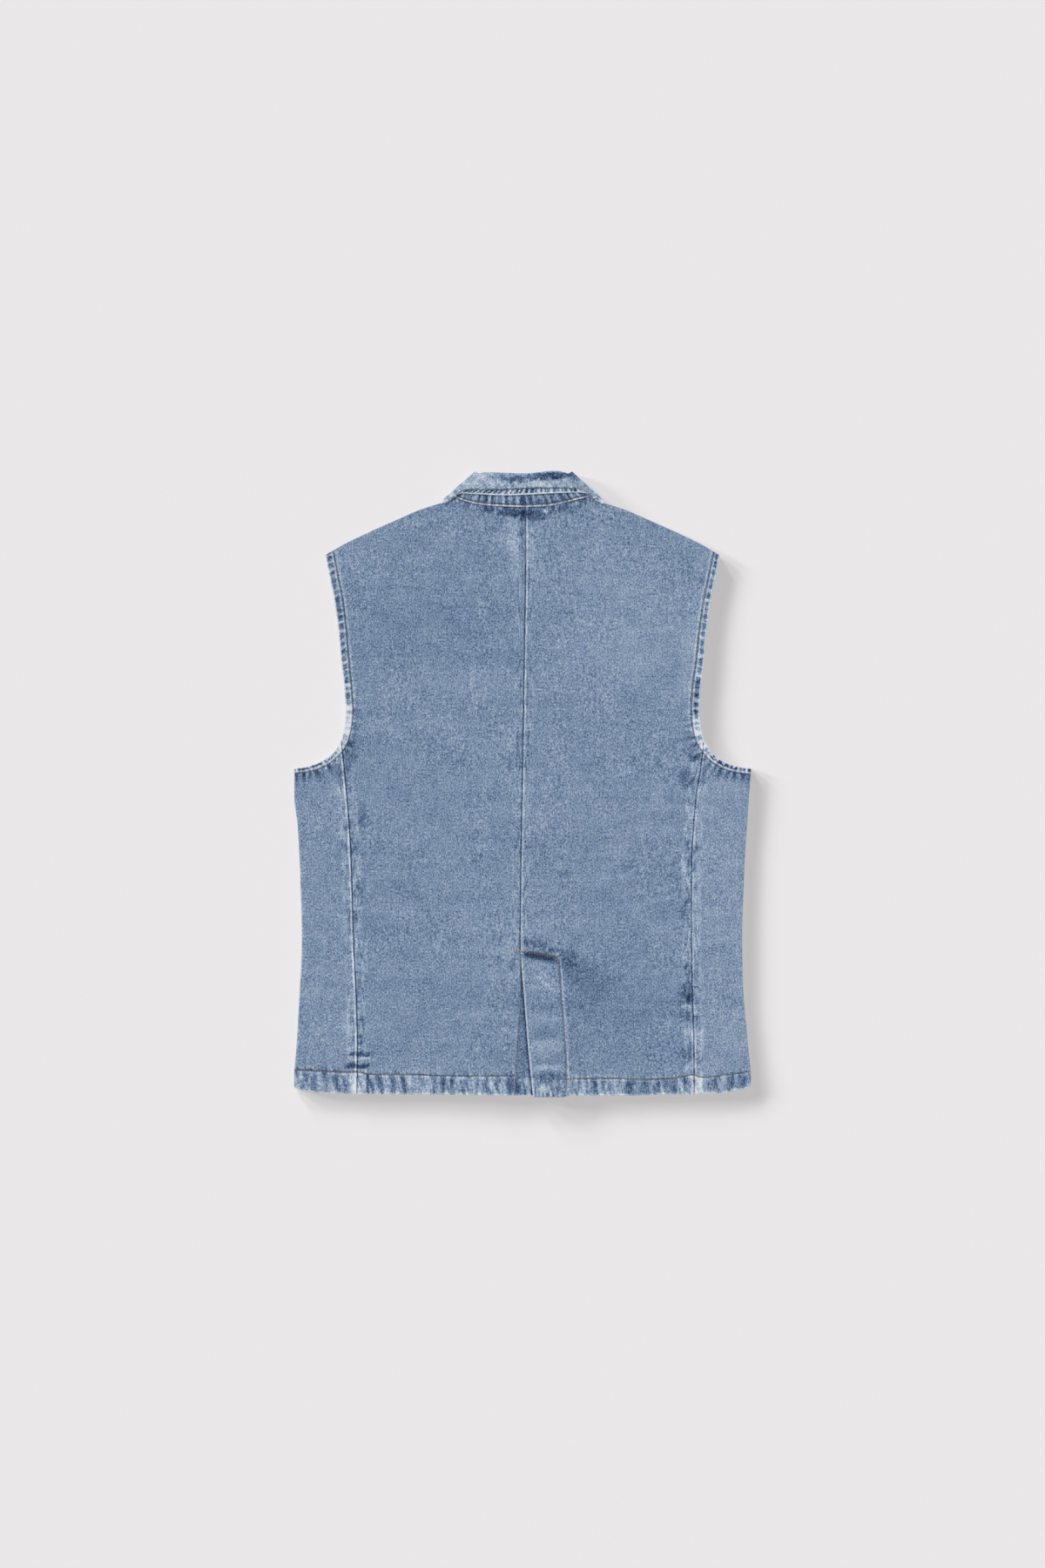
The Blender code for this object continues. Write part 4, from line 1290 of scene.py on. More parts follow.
def collar_stations():
    """All the stations: the left side from its front end, the back, and the right side."""
    left, right = collar_half(0), collar_half(1)
    share = np.linspace(0, 1, BACK_STATIONS + 2)[1:-1]
    back = {}
    for line, listed, gap in (("neck", BACK_NECK, SEAM_GAP), ("roll", ROLL, 0.0), ("edge", LEAF_EDGE, 0.0)):
        first, last = left[f"{line}_x"][0], right[f"{line}_x"][0]
        back[f"{line}_x"] = first + (last - first) * share
        back[f"{line}_y"] = smooth(listed, "x", "y", back[f"{line}_x"]) + gap
    back["angle"] = np.zeros(BACK_STATIONS)
    back["out_x"], back["out_y"] = np.full(BACK_STATIONS, -0.8), np.full(BACK_STATIONS, 0.6)
    return {key: np.concatenate([left[key][::-1], back[key], right[key]]) for key in back}


stations = collar_stations()
print("collar stations:", len(stations["angle"]))

# %% [markdown]
# The stand is puckered between its two rows of stitches. The leaf is stitched near its free
# edge, where short dark ticks lie between pale ridges, and the edge itself has worn white.

# %% Lines of the collar
STAND_MARKS = table(
    "x     y    wide high lean  tone",
    (-20,  320, 40,  5,   0.0,  0.12),
    (60,   326, 30,  5,   0.0,  0.10),
    (10,   325, 60,  4,   0.0,  -0.15),
)
LEAF_MARKS = table(
    "x     y    wide high lean  tone",
    (-8,   349, 34,  9,   0.3,  -0.62),
    (22,   352, 40,  10,  0.2,  -0.60),
    (44,   354, 34,  9,   0.0,  -0.75),
    (-20,  352, 30,  7,   0.0,  -0.20),
    (-50,  352, 34,  10,  0.0,  0.18),
    (-58,  345, 26,  8,   0.0,  0.12),
    (60,   345, 12,  16,  -0.5, -0.30),
    (-34,  350, 8,   6,   0.0,  -0.35),
    (-12,  343, 5,   7,   0.0,  -0.55),
    (10,   345, 60,  8,   0.0,  0.20),
    # The last two rows are painted shade on the leaf's left corner, where it turns down over the shoulder.
    (-80,  336, 12,  6,   0.6,  -0.25),
    (-85,  324, 9,   3,   1.2,  -0.35),
)


def plan(name):
    """The places of one of the collar's lines, seen from above."""
    return np.stack([stations[f"{name}_x"], stations[f"{name}_y"]], axis=-1)


def unit(vectors):
    return vectors / np.linalg.norm(vectors, axis=-1, keepdims=True)


def lifted(places, radius):
    """Plan places moved out from the collar's middle height: up, outwards at the fold, or down."""
    turn = np.radians(stations["angle"])[:, None]
    out = np.stack([stations["out_x"], stations["out_y"]], axis=-1)[:, None, :]
    moved = places + out * (radius * np.sin(turn))[..., None]
    z = np.maximum(COLLAR_MIDDLE + radius * np.cos(turn), LOWEST)
    return np.concatenate([moved, z[..., None]], axis=-1)


def roll_lines():
    """The neck, roll and edge lines, and the way from the collar out across the roll."""
    neck, roll, edge = plan("neck"), plan("roll"), plan("edge")
    return neck, roll, edge, unit(unit(roll - neck) + unit(roll - edge))


print("leaf's edge in mm:", round(lengths_along(plan("edge"))[-1]))

# %% Stand
STAND_PLACES = np.concatenate([EDGE_PLACES[:12], np.linspace(7.0, 30.0, 14)[1:]]) / 30.0
STAND_FRONT_RELIEF = 0.2


def collar_stand():
    """The stand, from the neck seam up to just inside the roll."""
    neck, roll, edge, across = roll_lines()
    end = roll - across * (ROLL_SEAM + SEAM_GAP)
    distance = STAND_PLACES[None, :] * np.linalg.norm(end - neck, axis=-1)[:, None]
    at = neck[:, None, :] + (end - neck)[:, None, :] * STAND_PLACES[None, :, None]
    along = lengths_along(neck)[:, None] + 0 * distance
    ridge = pleats(along + 0.25 * distance, 8.6, 2.3, 51)
    fine = pleats(along, 4.0, 1.0, 52)
    relief = 0.25 * ridge + rolled(distance, 0.7) - 0.4 * bump(distance, STAND_STITCH, 0.7)
    tone = -0.52 + 1.05 * ridge + 0.15 * fine
    # The dark line at the stand's stitches is painted shade in their groove.
    tone = tone + 0.95 * bump(distance, 0.8, 0.9) - 0.80 * bump(distance, STAND_STITCH, 1.0)
    tone = tone + marked(at[..., 0], at[..., 1], STAND_MARKS)
    on_back = np.cos(np.radians(stations["angle"]))[:, None] > 0
    radius = STAND_TOP - COLLAR_MIDDLE + relief * np.where(on_back, 1.0, STAND_FRONT_RELIEF)
    walls = thinned(COLLAR_WALL, distance)
    band = stacked(along + 0.25 * distance, distance, 0.7 + 0 * distance)
    return add_cloth("collar_stand_cloth", lifted(at, radius), tone, walls, True, None, band)


stand = collar_stand()

# %% Leaf
ROLL_TURNS = np.linspace(0, 180, 15)
LEAF_COLUMNS = 30
LEAF_EDGE_PLACES = np.array([2.6, 1.9, 1.3, 0.8, 0.4, 0.15, 0.0])
LEAF_BODY_END = 3.4
LEAF_TOP = COLLAR_TOP - COLLAR_MIDDLE
LEAF_INSIDE = STAND_TOP - COLLAR_MIDDLE - COLLAR_WALL


def leaf_plan():
    """Columns over the leaf, from its seam round the roll to its edge, and how high each is."""
    neck, roll, edge, across = roll_lines()
    length = np.linalg.norm(edge - roll, axis=-1)[:, None]
    turns = np.radians(ROLL_TURNS)
    middle, bend = (LEAF_TOP + LEAF_INSIDE) / 2, (LEAF_TOP - LEAF_INSIDE) / 2
    shares = np.linspace(0, 1, LEAF_COLUMNS)[1:]
    reach = np.concatenate([(length - LEAF_BODY_END) * shares, length - LEAF_EDGE_PLACES], axis=1)
    start = (roll - across * ROLL_SEAM)[:, None, :]
    less_at_fold = 1 - 0.6 * np.sin(np.radians(stations["angle"]))[:, None, None]
    out = (bend * np.sin(turns))[None, :, None] * less_at_fold
    bent = roll[:, None, :] + across[:, None, :] * out
    flat = roll[:, None, :] + unit(edge - roll)[:, None, :] * reach[..., None]
    at = np.concatenate([start, bent, flat], axis=1)
    lift = np.concatenate([[LEAF_INSIDE], middle - bend * np.cos(turns), np.full(reach.shape[1], LEAF_TOP)])
    to_edge = np.full((len(length), 1 + len(turns)), OUT_OF_REACH)
    to_edge = np.concatenate([to_edge, length - reach], axis=1)
    return at, lift[None, :], to_edge, reach.shape[1]


def collar_leaf():
    """The leaf, with its dark ticks at the stitched edge and painted shade where it turns over at the roll.
    """
    at, lift, to_edge, flat_columns = leaf_plan()
    x, y = at[..., 0], at[..., 1]
    on_face = np.concatenate([np.zeros(1), ease(ROLL_TURNS, 60, 150), np.ones(flat_columns)])[None, :]
    fold_turns = np.radians(ROLL_TURNS)
    fold_turns = np.concatenate([[0], fold_turns, np.full(flat_columns, 9.0)])
    along = lengths_along(plan("edge"))[:, None] + 0 * to_edge
    inside = to_edge - LEAF_STITCH
    turned = ease(inside, 0.5, -0.6)
    above = np.where(inside > 0, np.exp(-np.maximum(inside, 0) / 5.0), 0.0)
    tick = pleats(along - 0.5 * to_edge, 5.6, 1.5, 55)
    streak = pleats(along + 0.15 * to_edge, 5.0, 1.4, 56)
    blot = hills(x, y, 11, 57) + 0.5 * hills(2 * x, y, 7, 58)

    # Relief, which only shows on the outer face of the back.
    relief = turned * (0.25 - 0.30 * tick) + rolled(to_edge, FOLDED_EDGE)
    relief = relief - 0.45 * bump(inside, 0, 0.8) + above * 0.15 * streak + 0.15 * hills(x, y, 30, 59)
    on_back = np.cos(np.radians(stations["angle"]))[:, None] > 0
    front_rounding = np.where(on_back, 0.0, np.minimum(0, rolled(to_edge, FOLDED_EDGE)))
    radius = lift + (np.where(on_back, relief, 0.0) + front_rounding) * on_face

    # Tone: blots, dark ticks on the turned edge, the white edge itself, marks, painted shade in the
    # stitches' groove and painted shade where the roll turns over.
    tone = on_face * (0.30 + 0.16 * blot + 0.25 * above * (streak - 0.3))
    dark_tick = ease(tick, 0.08, 0.42) * ease(to_edge, 1.3, 2.2)
    dark_tick = dark_tick * ease(abs(x), 80, 72) * (1.45 - 0.4 * ease(x, -10, 40))
    tone = tone + turned * (0.36 - dark_tick) + 0.45 * ease(to_edge, 1.9, 0.7)
    tone = tone + marked(x, y, LEAF_MARKS) - 0.75 * bump(inside, 0, 1.0)
    # Painted shade on the roll, darkest where it turns out of sight.
    tone = tone - 0.40 * bump(np.degrees(fold_turns)[None, :], 98, 22)
    walls = np.where(on_face > 0.99, thinned(COLLAR_WALL, to_edge), EDGE_WALL + 0.3)
    band = stacked(along - 0.4 * to_edge, to_edge, on_face * (0.45 + 0.20 * ease(inside, 5.0, -1.0)))
    return add_cloth("collar_leaf_cloth", lifted(at, radius), tone, walls, False, None, band)


leaf = collar_leaf()

# %% [markdown]
# ## The buttons
# Five plain metal shank buttons close the front. Each is turned from a profile: a flat face with
# a sunk middle and a rolled rim. The face lies on the floor.

# %% The buttons
BUTTON_PROFILE = table(
    "radius height",
    (0.0,  0.55),
    (3.2,  0.55),
    (4.0,  0.45),
    (4.6,  0.12),
    (5.4,  0.0),
    (7.3,  0.0),
    (8.1,  0.25),
    (8.5,  0.8),
    (8.3,  1.4),
    (7.6,  1.7),
    (3.0,  1.8),
    (2.6,  2.2),
    (0.0,  2.2),
)
BUTTON_SIDES = 40
BUTTON_COUNT = 5
CREASE = math.radians(50)


def turned_button(number):
    """A closed body turned round its own axis, from the profile."""
    low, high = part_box(f"button_{number}")
    centre_x, centre_y = ((a + b) / 2 for a, b in zip(low[:2], high[:2]))
    rings = list(zip(BUTTON_PROFILE["radius"], BUTTON_PROFILE["height"]))
    spots, faces = [(centre_x, centre_y, rings[0][1] * MM)], []
    for radius, height in rings[1:-1]:
        for step in range(BUTTON_SIDES):
            turn = 2 * math.pi * step / BUTTON_SIDES
            x = centre_x + radius * MM * math.cos(turn)
            y = centre_y + radius * MM * math.sin(turn)
            spots.append((x, y, height * MM))
    spots.append((centre_x, centre_y, rings[-1][1] * MM))
    for step in range(BUTTON_SIDES):
        after = (step + 1) % BUTTON_SIDES
        faces.append((0, 1 + after, 1 + step))
        for ring in range(len(rings) - 3):
            a, b = 1 + ring * BUTTON_SIDES, 1 + (ring + 1) * BUTTON_SIDES
            faces.append((a + step, a + after, b + after, b + step))
        last = 1 + (len(rings) - 3) * BUTTON_SIDES
        faces.append((last + step, last + after, len(spots) - 1))
    mesh = bpy.data.meshes.new(f"turned_button_{number}")
    mesh.from_pydata(spots, [], faces)
    mesh.shade_smooth()
    mesh.set_sharp_from_angle(angle=CREASE)
    piece = bpy.data.objects.new(mesh.name, mesh)
    bpy.context.scene.collection.objects.link(piece)
    return piece


buttons = {number: turned_button(number) for number in range(1, BUTTON_COUNT + 1)}
print("buttons:", len(buttons), "and each", 2 * max(BUTTON_PROFILE["radius"]), "mm wide")

# %% [markdown]
# ## Stitches
# Topstitching is the same short stitch over and over along a line, which is a job for Geometry
# Nodes. The host mesh holds only the lines. The tree turns them into curves, marks a point every
# stitch length, puts a small grain of thread on each, turned along the line, and makes them real.

# %% Stitch lines
STITCH_PITCH = 3.1
STITCH_LENGTH = 2.9
STITCH_LIFT = 0.2
BAR_LIFT = 0.3
FLOOR_GAP = 0.5
LOOK_FROM = 40.0
FEWEST_PLACES = 8
SMOOTHED_OVER = 7


def offset_line(line, inset):
    """A line moved sideways by a distance for each of its places."""
    ahead = unit(np.gradient(line, axis=0))
    return line + np.stack([-ahead[:, 1], ahead[:, 0]], axis=1) * np.reshape(inset, (-1, 1))


def along_table(listed, key, start, end):
    """A line through a table of places, at each whole step of x or of y, whichever the key is."""
    at = np.arange(start, end, 1.0)
    other = smooth(listed, key, "y" if key == "x" else "x", at)
    return np.stack([at, other] if key == "x" else [other, at], axis=1)


def armhole_stitch(side, front):
    """The stitches of an armhole, as far inside its edge as its table says."""
    line = ARMHOLE_LINES[side, front]
    inset = smooth(ARMHOLE_LOOKS[side], "along", "inset", lengths_along(line))
    return offset_line(line, side * -inset)[4::2]


stitch_lines = {"bright": [], "golden": [], "worn": [], "under": []}


def sew(faces, line, kind="worn", lift=STITCH_LIFT):
    """Lays a line of stitches on the outer face of cloth pieces, and smooths its height."""
    from_above = kind != "under"
    way = -1 if from_above else 1
    laid = []
    for x, y in line:
        start = Vector((x, y, -LOOK_FROM * way))
        hits = [outer_faces[name].ray_cast(start, Vector((0, 0, way)))[0] for name in faces]
        heights = [hit.z for hit in hits if hit is not None]
        if heights:
            z = max(heights) if from_above else min(heights)
            laid.append((x, y, z + lift if from_above else max(z - lift, FLOOR_GAP)))
    if len(laid) > FEWEST_PLACES:
        laid = np.array(laid)
        end = SMOOTHED_OVER // 2
        heights = np.convolve(laid[:, 2], np.ones(SMOOTHED_OVER) / SMOOTHED_OVER, "valid")
        laid[end:-end, 2] = heights
        stitch_lines[kind].append(laid.tolist())


print("stitches each", STITCH_LENGTH, "mm long, every", STITCH_PITCH, "mm")

# %% Rows round the hem and the armholes
HEM_FROM, HEM_TO = -259, 260
FRONT_HEM_LAP = 12
PLACKET_FROM, PLACKET_TO = -352.0, 243.0

sew(["back_left_cloth", "side_left_cloth"], along_table(HEM_STITCH, "x", HEM_FROM, HEM_BARE[0]), "golden")
sew(["back_right_cloth", "side_right_cloth"], along_table(HEM_STITCH, "x", HEM_BARE[1], HEM_TO), "golden")
for side, name in ((-1, "left"), (1, "right")):
    back_and_side = [f"back_{name}_cloth", f"side_{name}_cloth"]
    front_and_side = [f"front_{name}_cloth", f"side_{name}_cloth"]
    sew(back_and_side, armhole_stitch(side, False))
    sew(front_and_side, armhole_stitch(side, True), "under")
    ends = (HEM_FROM, FRONT_HEM_LAP) if side < 0 else (-FRONT_HEM_LAP, HEM_TO)
    sew(front_and_side, along_table(HEM_STITCH, "x", *ends), "under")
    for inset in PLACKET_STITCHES:
        up = np.arange(PLACKET_FROM, PLACKET_TO, 1.0)
        across = np.full(len(up), -side * (OVERLAP - inset))
        sew([f"front_{name}_cloth"], np.stack([across, up], axis=1), "under")
print("stitch lines:", {kind: len(lines) for kind, lines in stitch_lines.items()})

# %% Rows of the vent and the collar
VENT_FROM = -356
FLAP_TO, UNDERLAP_TO = -201, -200
BAR_FROM, BAR_BRIGHT_TO, BAR_GOLDEN_FROM = -8, 6, 5
BAR_ROWS_APART = 1.1
BAR_TURN = np.stack([np.full(12, 39.6), np.linspace(-198.5, -204.7, 12)], axis=1)

sew(["back_right_cloth"], along_table(FLAP_STITCH, "y", VENT_FROM, FLAP_TO))
sew(["back_left_cloth"], along_table(UNDERLAP_STITCH, "y", VENT_FROM, UNDERLAP_TO))
bar_start = along_table(VENT_BAR, "x", BAR_FROM, BAR_BRIGHT_TO)
bar = along_table(VENT_BAR, "x", BAR_GOLDEN_FROM, BAR_END)
sew(["back_left_cloth", "back_right_cloth"], bar_start, "bright", BAR_LIFT)
sew(["back_right_cloth"], bar, "golden", BAR_LIFT)
sew(["back_right_cloth"], bar - (0.0, BAR_ROWS_APART), "worn", BAR_LIFT)
sew(["back_right_cloth"], BAR_TURN, "golden", BAR_LIFT)


def collar_line(first, inset):
    """A line at a distance inside the leaf's edge or above the neck seam, across the back."""
    back = stations["angle"] < 1
    start, towards = plan(first)[back], plan("roll")[back]
    return start + unit(towards - start) * inset


sew(["collar_leaf_cloth"], collar_line("edge", LEAF_STITCH))
sew(["collar_stand_cloth"], collar_line("neck", STAND_STITCH))
print("stitch lines:", {kind: len(lines) for kind, lines in stitch_lines.items()})

# %% [markdown]
# The tree takes its three sizes as inputs, so the same nodes serve thick and thin thread. Each
# stitch is a little longer or shorter than the last, as on a worn seam.

# %% Stitch tree
GRAIN_SEGMENTS, GRAIN_RINGS = 6, 5
SHORTEST, LONGEST = 0.82, 1.08
STITCH_SEED = 7


def stitch_tree(thread):
    """Geometry Nodes that turn lines into rows of stitches."""
    tree = bpy.data.node_groups.new("rows_of_stitches", "GeometryNodeTree")
    shape = tree.interface
    shape.new_socket("Lines", in_out="INPUT", socket_type="NodeSocketGeometry")
    sizes = {}
    for label, value in (("Pitch", STITCH_PITCH), ("Length", STITCH_LENGTH), ("Thickness", 1.0)):
        socket = shape.new_socket(label, in_out="INPUT", socket_type="NodeSocketFloat")
        socket.default_value = value * MM
        sizes[label] = socket.identifier
    shape.new_socket("Stitches", in_out="OUTPUT", socket_type="NodeSocketGeometry")
    node = tree.nodes.new
    join = tree.links.new
    inlet, outlet = node("NodeGroupInput"), node("NodeGroupOutput")
    curve, marks = node("GeometryNodeMeshToCurve"), node("GeometryNodeResampleCurve")
    marks.mode = "LENGTH"
    points, aim = node("GeometryNodeCurveToPoints"), node("FunctionNodeAlignRotationToVector")
    points.mode = "EVALUATED"
    aim.axis = "Z"
    grain, place = node("GeometryNodeMeshUVSphere"), node("GeometryNodeInstanceOnPoints")
    real, paint = node("GeometryNodeRealizeInstances"), node("GeometryNodeSetMaterial")
    grain.inputs["Segments"].default_value = GRAIN_SEGMENTS
    grain.inputs["Rings"].default_value = GRAIN_RINGS
    grain.inputs["Radius"].default_value = 0.5
    size = node("ShaderNodeCombineXYZ")
    wobble = node("FunctionNodeRandomValue")
    wobble.data_type = "FLOAT"
    wobble.inputs[2].default_value = SHORTEST
    wobble.inputs[3].default_value = LONGEST
    wobble.inputs["Seed"].default_value = STITCH_SEED
    longer = node("ShaderNodeMath")
    longer.operation = "MULTIPLY"
    paint.inputs["Material"].default_value = thread
    join(inlet.outputs["Lines"], curve.inputs["Mesh"])
    join(curve.outputs["Curve"], marks.inputs["Curve"])
    join(inlet.outputs["Pitch"], marks.inputs["Length"])
    join(marks.outputs["Curve"], points.inputs["Curve"])
    join(points.outputs["Points"], place.inputs["Points"])
    join(points.outputs["Tangent"], aim.inputs["Vector"])
    join(aim.outputs["Rotation"], place.inputs["Rotation"])
    join(grain.outputs["Mesh"], place.inputs["Instance"])
    join(inlet.outputs["Thickness"], size.inputs["X"])
    join(inlet.outputs["Thickness"], size.inputs["Y"])
    join(inlet.outputs["Length"], longer.inputs[0])
    join(wobble.outputs[1], longer.inputs[1])
    join(longer.outputs[0], size.inputs["Z"])
    join(size.outputs["Vector"], place.inputs["Scale"])
    join(place.outputs["Instances"], real.inputs["Geometry"])
    join(real.outputs["Geometry"], paint.inputs["Geometry"])
    join(paint.outputs["Geometry"], outlet.inputs["Stitches"])
    return tree, sizes


def sewn_stitches(name, lines, thread, thickness):
    """A plain mesh of all the stitches along some lines."""
    spots, edges = [], []
    for line in lines:
        first = len(spots)
        spots += [(x * MM, y * MM, z * MM) for x, y, z in line]
        edges += [(first + i, first + i + 1) for i in range(len(line) - 1)]
    host_mesh = bpy.data.meshes.new(name + "_lines")
    host_mesh.from_pydata(spots, edges, [])
    host = bpy.data.objects.new(name + "_lines", host_mesh)
    bpy.context.scene.collection.objects.link(host)
    tree, sizes = stitch_tree(thread)
    rows = host.modifiers.new("rows", "NODES")
    rows.node_group = tree
    rows[sizes["Pitch"]] = STITCH_PITCH * MM
    rows[sizes["Length"]] = STITCH_LENGTH * MM
    rows[sizes["Thickness"]] = thickness * MM
    bpy.context.view_layer.update()
    graph = bpy.context.evaluated_depsgraph_get()
    mesh = bpy.data.meshes.new_from_object(host.evaluated_get(graph))
    mesh.name = name
    bpy.data.objects.remove(host, do_unlink=True)
    mesh.shade_smooth()
    piece = bpy.data.objects.new(name, mesh)
    bpy.context.scene.collection.objects.link(piece)
    print(f"{name}: {len(mesh.polygons)} faces")
    return piece


# %% [markdown]
# ## Materials
# Shader sums read better as sums. `Number` wraps one output of a node and adds the Math nodes
# when it is added to, multiplied or compared, and `Nodes.add` makes every other node.

# %% Shader sums
class Nodes:
    """The nodes of one material."""

    def __init__(self, name):
        self.material = bpy.data.materials.new(name)
        self.material.use_nodes = True
        self.tree = self.material.node_tree
        self.shader = self.tree.nodes["Principled BSDF"]

    def add(self, kind, settings=None, **sockets):
        """A node of a type, with its settings, then the values or links of its sockets."""
        made = self.tree.nodes.new(kind)
        for key, value in (settings or {}).items():
            setattr(made, key, value)
        for key, value in sockets.items():
            self.join(made.inputs[int(key[1:]) if key[0] == "_" else key], value)
        return made

    def join(self, socket, value):
        if isinstance(value, Number):
            value = value.socket
        if isinstance(value, bpy.types.NodeSocket):
            self.tree.links.new(value, socket)
        else:
            socket.default_value = value

    def number(self, socket):
        return Number(self, socket)

    def noise(self, at, scale, detail=2.0, rough=0.5, squeeze=(1, 1, 1)):
        """Noise from 0 to 1, drawn out or squeezed along the axes."""
        fitted = self.add("ShaderNodeVectorMath", {"operation": "MULTIPLY"}, _0=at, _1=squeeze)
        looks = {"Scale": scale, "Detail": detail, "Roughness": rough}
        made = self.add("ShaderNodeTexNoise", {}, Vector=fitted.outputs[0], **looks)
        return self.number(made.outputs[0])

    def ramp(self, factor, stops):
        made = self.add("ShaderNodeValToRGB", {}, _0=factor)
        strip = made.color_ramp
        while len(strip.elements) < len(stops):
            strip.elements.new(0.5)
        for element, (place, colour) in zip(strip.elements, stops):
            element.position = place
            element.color = (*colour, 1.0)
        return made.outputs[0]


class Number:
    """A number that varies over a surface, on which sums are written as sums."""

    def __init__(self, nodes, socket):
        self.nodes = nodes
        self.socket = socket

    def sum(self, operation, *others, swapped=False):
        values = [self, *others]
        if swapped:
            values = values[::-1]
        made = self.nodes.add("ShaderNodeMath", {"operation": operation})
        for socket, value in zip(made.inputs, values):
            self.nodes.join(socket, value)
        return Number(self.nodes, made.outputs[0])

    def __add__(self, other):
        return self.sum("ADD", other)

    __radd__ = __add__

    def __mul__(self, other):
        return self.sum("MULTIPLY", other)

    __rmul__ = __mul__

    def __sub__(self, other):
        return self.sum("SUBTRACT", other)

    def __rsub__(self, other):
        return self.sum("SUBTRACT", other, swapped=True)

    def clamped(self):
        return self.sum("MAXIMUM", 0.0).sum("MINIMUM", 1.0)


def srgb(red, green, blue):
    """A colour read off a screen, from 0 to 255, as the light it stands for."""
    return tuple(((c / 255 + 0.055) / 1.055) ** 2.4 if c > 10 else c / 3295 for c in (red, green, blue))


# %% [markdown]
# ## Denim
# Denim is a twill of blue warp over white weft. Stone washing takes the blue off the tops of the
# yarns, which leaves a salt and pepper grain, drawn out along the warp. The material takes the
# tone of the place, adds that grain, and reads the sum off a strip of colours from unwashed
# indigo to worn white.

# %% Denim
DENIM_COLOURS = (
    (0.0, srgb(22, 38, 72)),
    (0.25, srgb(64, 86, 117)),
    (0.5, srgb(117, 138, 165)),
    (0.75, srgb(166, 180, 196)),
    (1.0, srgb(214, 217, 222)),
)


def denim():
    """Washed denim, whose shade is the place's tone and the grain of its yarns."""
    wash = Nodes("washed_denim")
    at = wash.add("ShaderNodeTexCoord").outputs["Object"]
    tone = wash.number(wash.add("ShaderNodeAttribute", {"attribute_name": "tone"}).outputs["Fac"])
    band = wash.add("ShaderNodeAttribute", {"attribute_name": "band"}).outputs["Vector"]
    parts = wash.add("ShaderNodeSeparateXYZ", {}, Vector=band)
    puckered = wash.number(parts.outputs[2])
    level = wash.add("ShaderNodeCombineXYZ", {}, X=parts.outputs[0], Y=parts.outputs[1]).outputs[0]
    grain = wash.noise(at, 720.0, 1.0, 0.6, (1.0, 0.66, 1.0)) - 0.5
    warp = wash.noise(at, 250.0, 2.0, 0.5, (1.5, 0.35, 1.0)) - 0.5
    weft = wash.noise(at, 60.0, 2.0, 0.5, (0.10, 1.6, 1.0)) - 0.5
    slub = wash.noise(at, 420.0, 1.0, 0.5, (0.25, 1.8, 1.0)) - 0.5
    cloud = wash.noise(at, 55.0, 3.0, 0.55) - 0.5
    streaks = wash.noise(level, 0.30, 2.0, 0.6, (1.0, 0.22, 1.0)) - 0.5
    shade = tone - 0.045 + grain * 2.0 + warp * 0.5 + weft * 0.20
    shade = shade + slub * 0.30 + cloud * 0.22 + puckered * streaks * 2.6
    colour = wash.ramp((shade * 0.5 + 0.5).clamped(), DENIM_COLOURS)
    twill = wash.add(
        "ShaderNodeTexWave",
        {"bands_direction": "DIAGONAL"},
        Vector=at,
        Scale=260.0,
        Distortion=1.5,
        Detail=1.0,
    )
    weave = wash.number(twill.outputs["Fac"]) * 0.5 + grain * 0.8
    raised = wash.add("ShaderNodeBump", {}, Strength=0.35, Distance=0.0004, Height=weave)
    wash.join(wash.shader.inputs["Base Color"], colour)
    wash.join(wash.shader.inputs["Normal"], raised.outputs[0])
    wash.join(wash.shader.inputs["Roughness"], (0.92 - tone * 0.05).clamped())
    wash.shader.inputs["Specular IOR Level"].default_value = 0.2
    wash.shader.inputs["Sheen Weight"].default_value = 0.12
    wash.shader.inputs["Sheen Roughness"].default_value = 0.6
    return wash.material


THREAD_COLOURS = {
    "golden": (
        (0.0, srgb(46, 50, 60)),
        (0.45, srgb(86, 82, 80)),
        (0.6, srgb(132, 118, 98)),
        (0.8, srgb(206, 182, 138)),
    ),
    "worn": (
        (0.0, srgb(50, 56, 68)),
        (0.45, srgb(96, 99, 106)),
        (0.62, srgb(134, 134, 134)),
        (0.8, srgb(174, 172, 164)),
    ),
    "bright": (
        (0.0, srgb(104, 96, 88)),
        (0.5, srgb(190, 164, 122)),
        (0.8, srgb(226, 206, 164)),
    ),
}
METAL_COLOURS = ((0.3, (0.20, 0.18, 0.16)), (0.7, (0.52, 0.49, 0.45)))


def thread(name, colours):
    """Spun thread, faded in places and flecked along its length."""
    spun = Nodes(name)
    at = spun.add("ShaderNodeTexCoord").outputs["Object"]
    fade = spun.noise(at, 26.0, 2.0, 0.6)
    fleck = spun.noise(at, 900.0, 2.0, 0.6)
    place = (fade * 0.75 + fleck * 0.35 - 0.05).clamped()
    colour = spun.ramp(place, colours)
    spun.join(spun.shader.inputs["Base Color"], colour)
    spun.join(spun.shader.inputs["Roughness"], (0.75 + fleck * 0.1).clamped())
    return spun.material


def button_metal():
    """Plain metal, scuffed finely and dulled in patches."""
    metal = Nodes("worn_button_metal")
    at = metal.add("ShaderNodeTexCoord").outputs["Object"]
    scuff = metal.noise(at, 700.0, 3.0, 0.6)
    patch = metal.noise(at, 120.0, 2.0, 0.5)
    colour = metal.ramp((scuff * 0.5 + patch * 0.5).clamped(), METAL_COLOURS)
    metal.join(metal.shader.inputs["Base Color"], colour)
    metal.join(metal.shader.inputs["Roughness"], (0.28 + scuff * 0.25).clamped())
    metal.shader.inputs["Metallic"].default_value = 1.0
    return metal.material


denim_cloth, metal = denim(), button_metal()
threads = {kind: thread(f"{kind}_thread", colours) for kind, colours in THREAD_COLOURS.items()}
threads["under"] = threads["golden"]
print("materials:", denim_cloth.name, metal.name, [threads[kind].name for kind in THREAD_COLOURS])
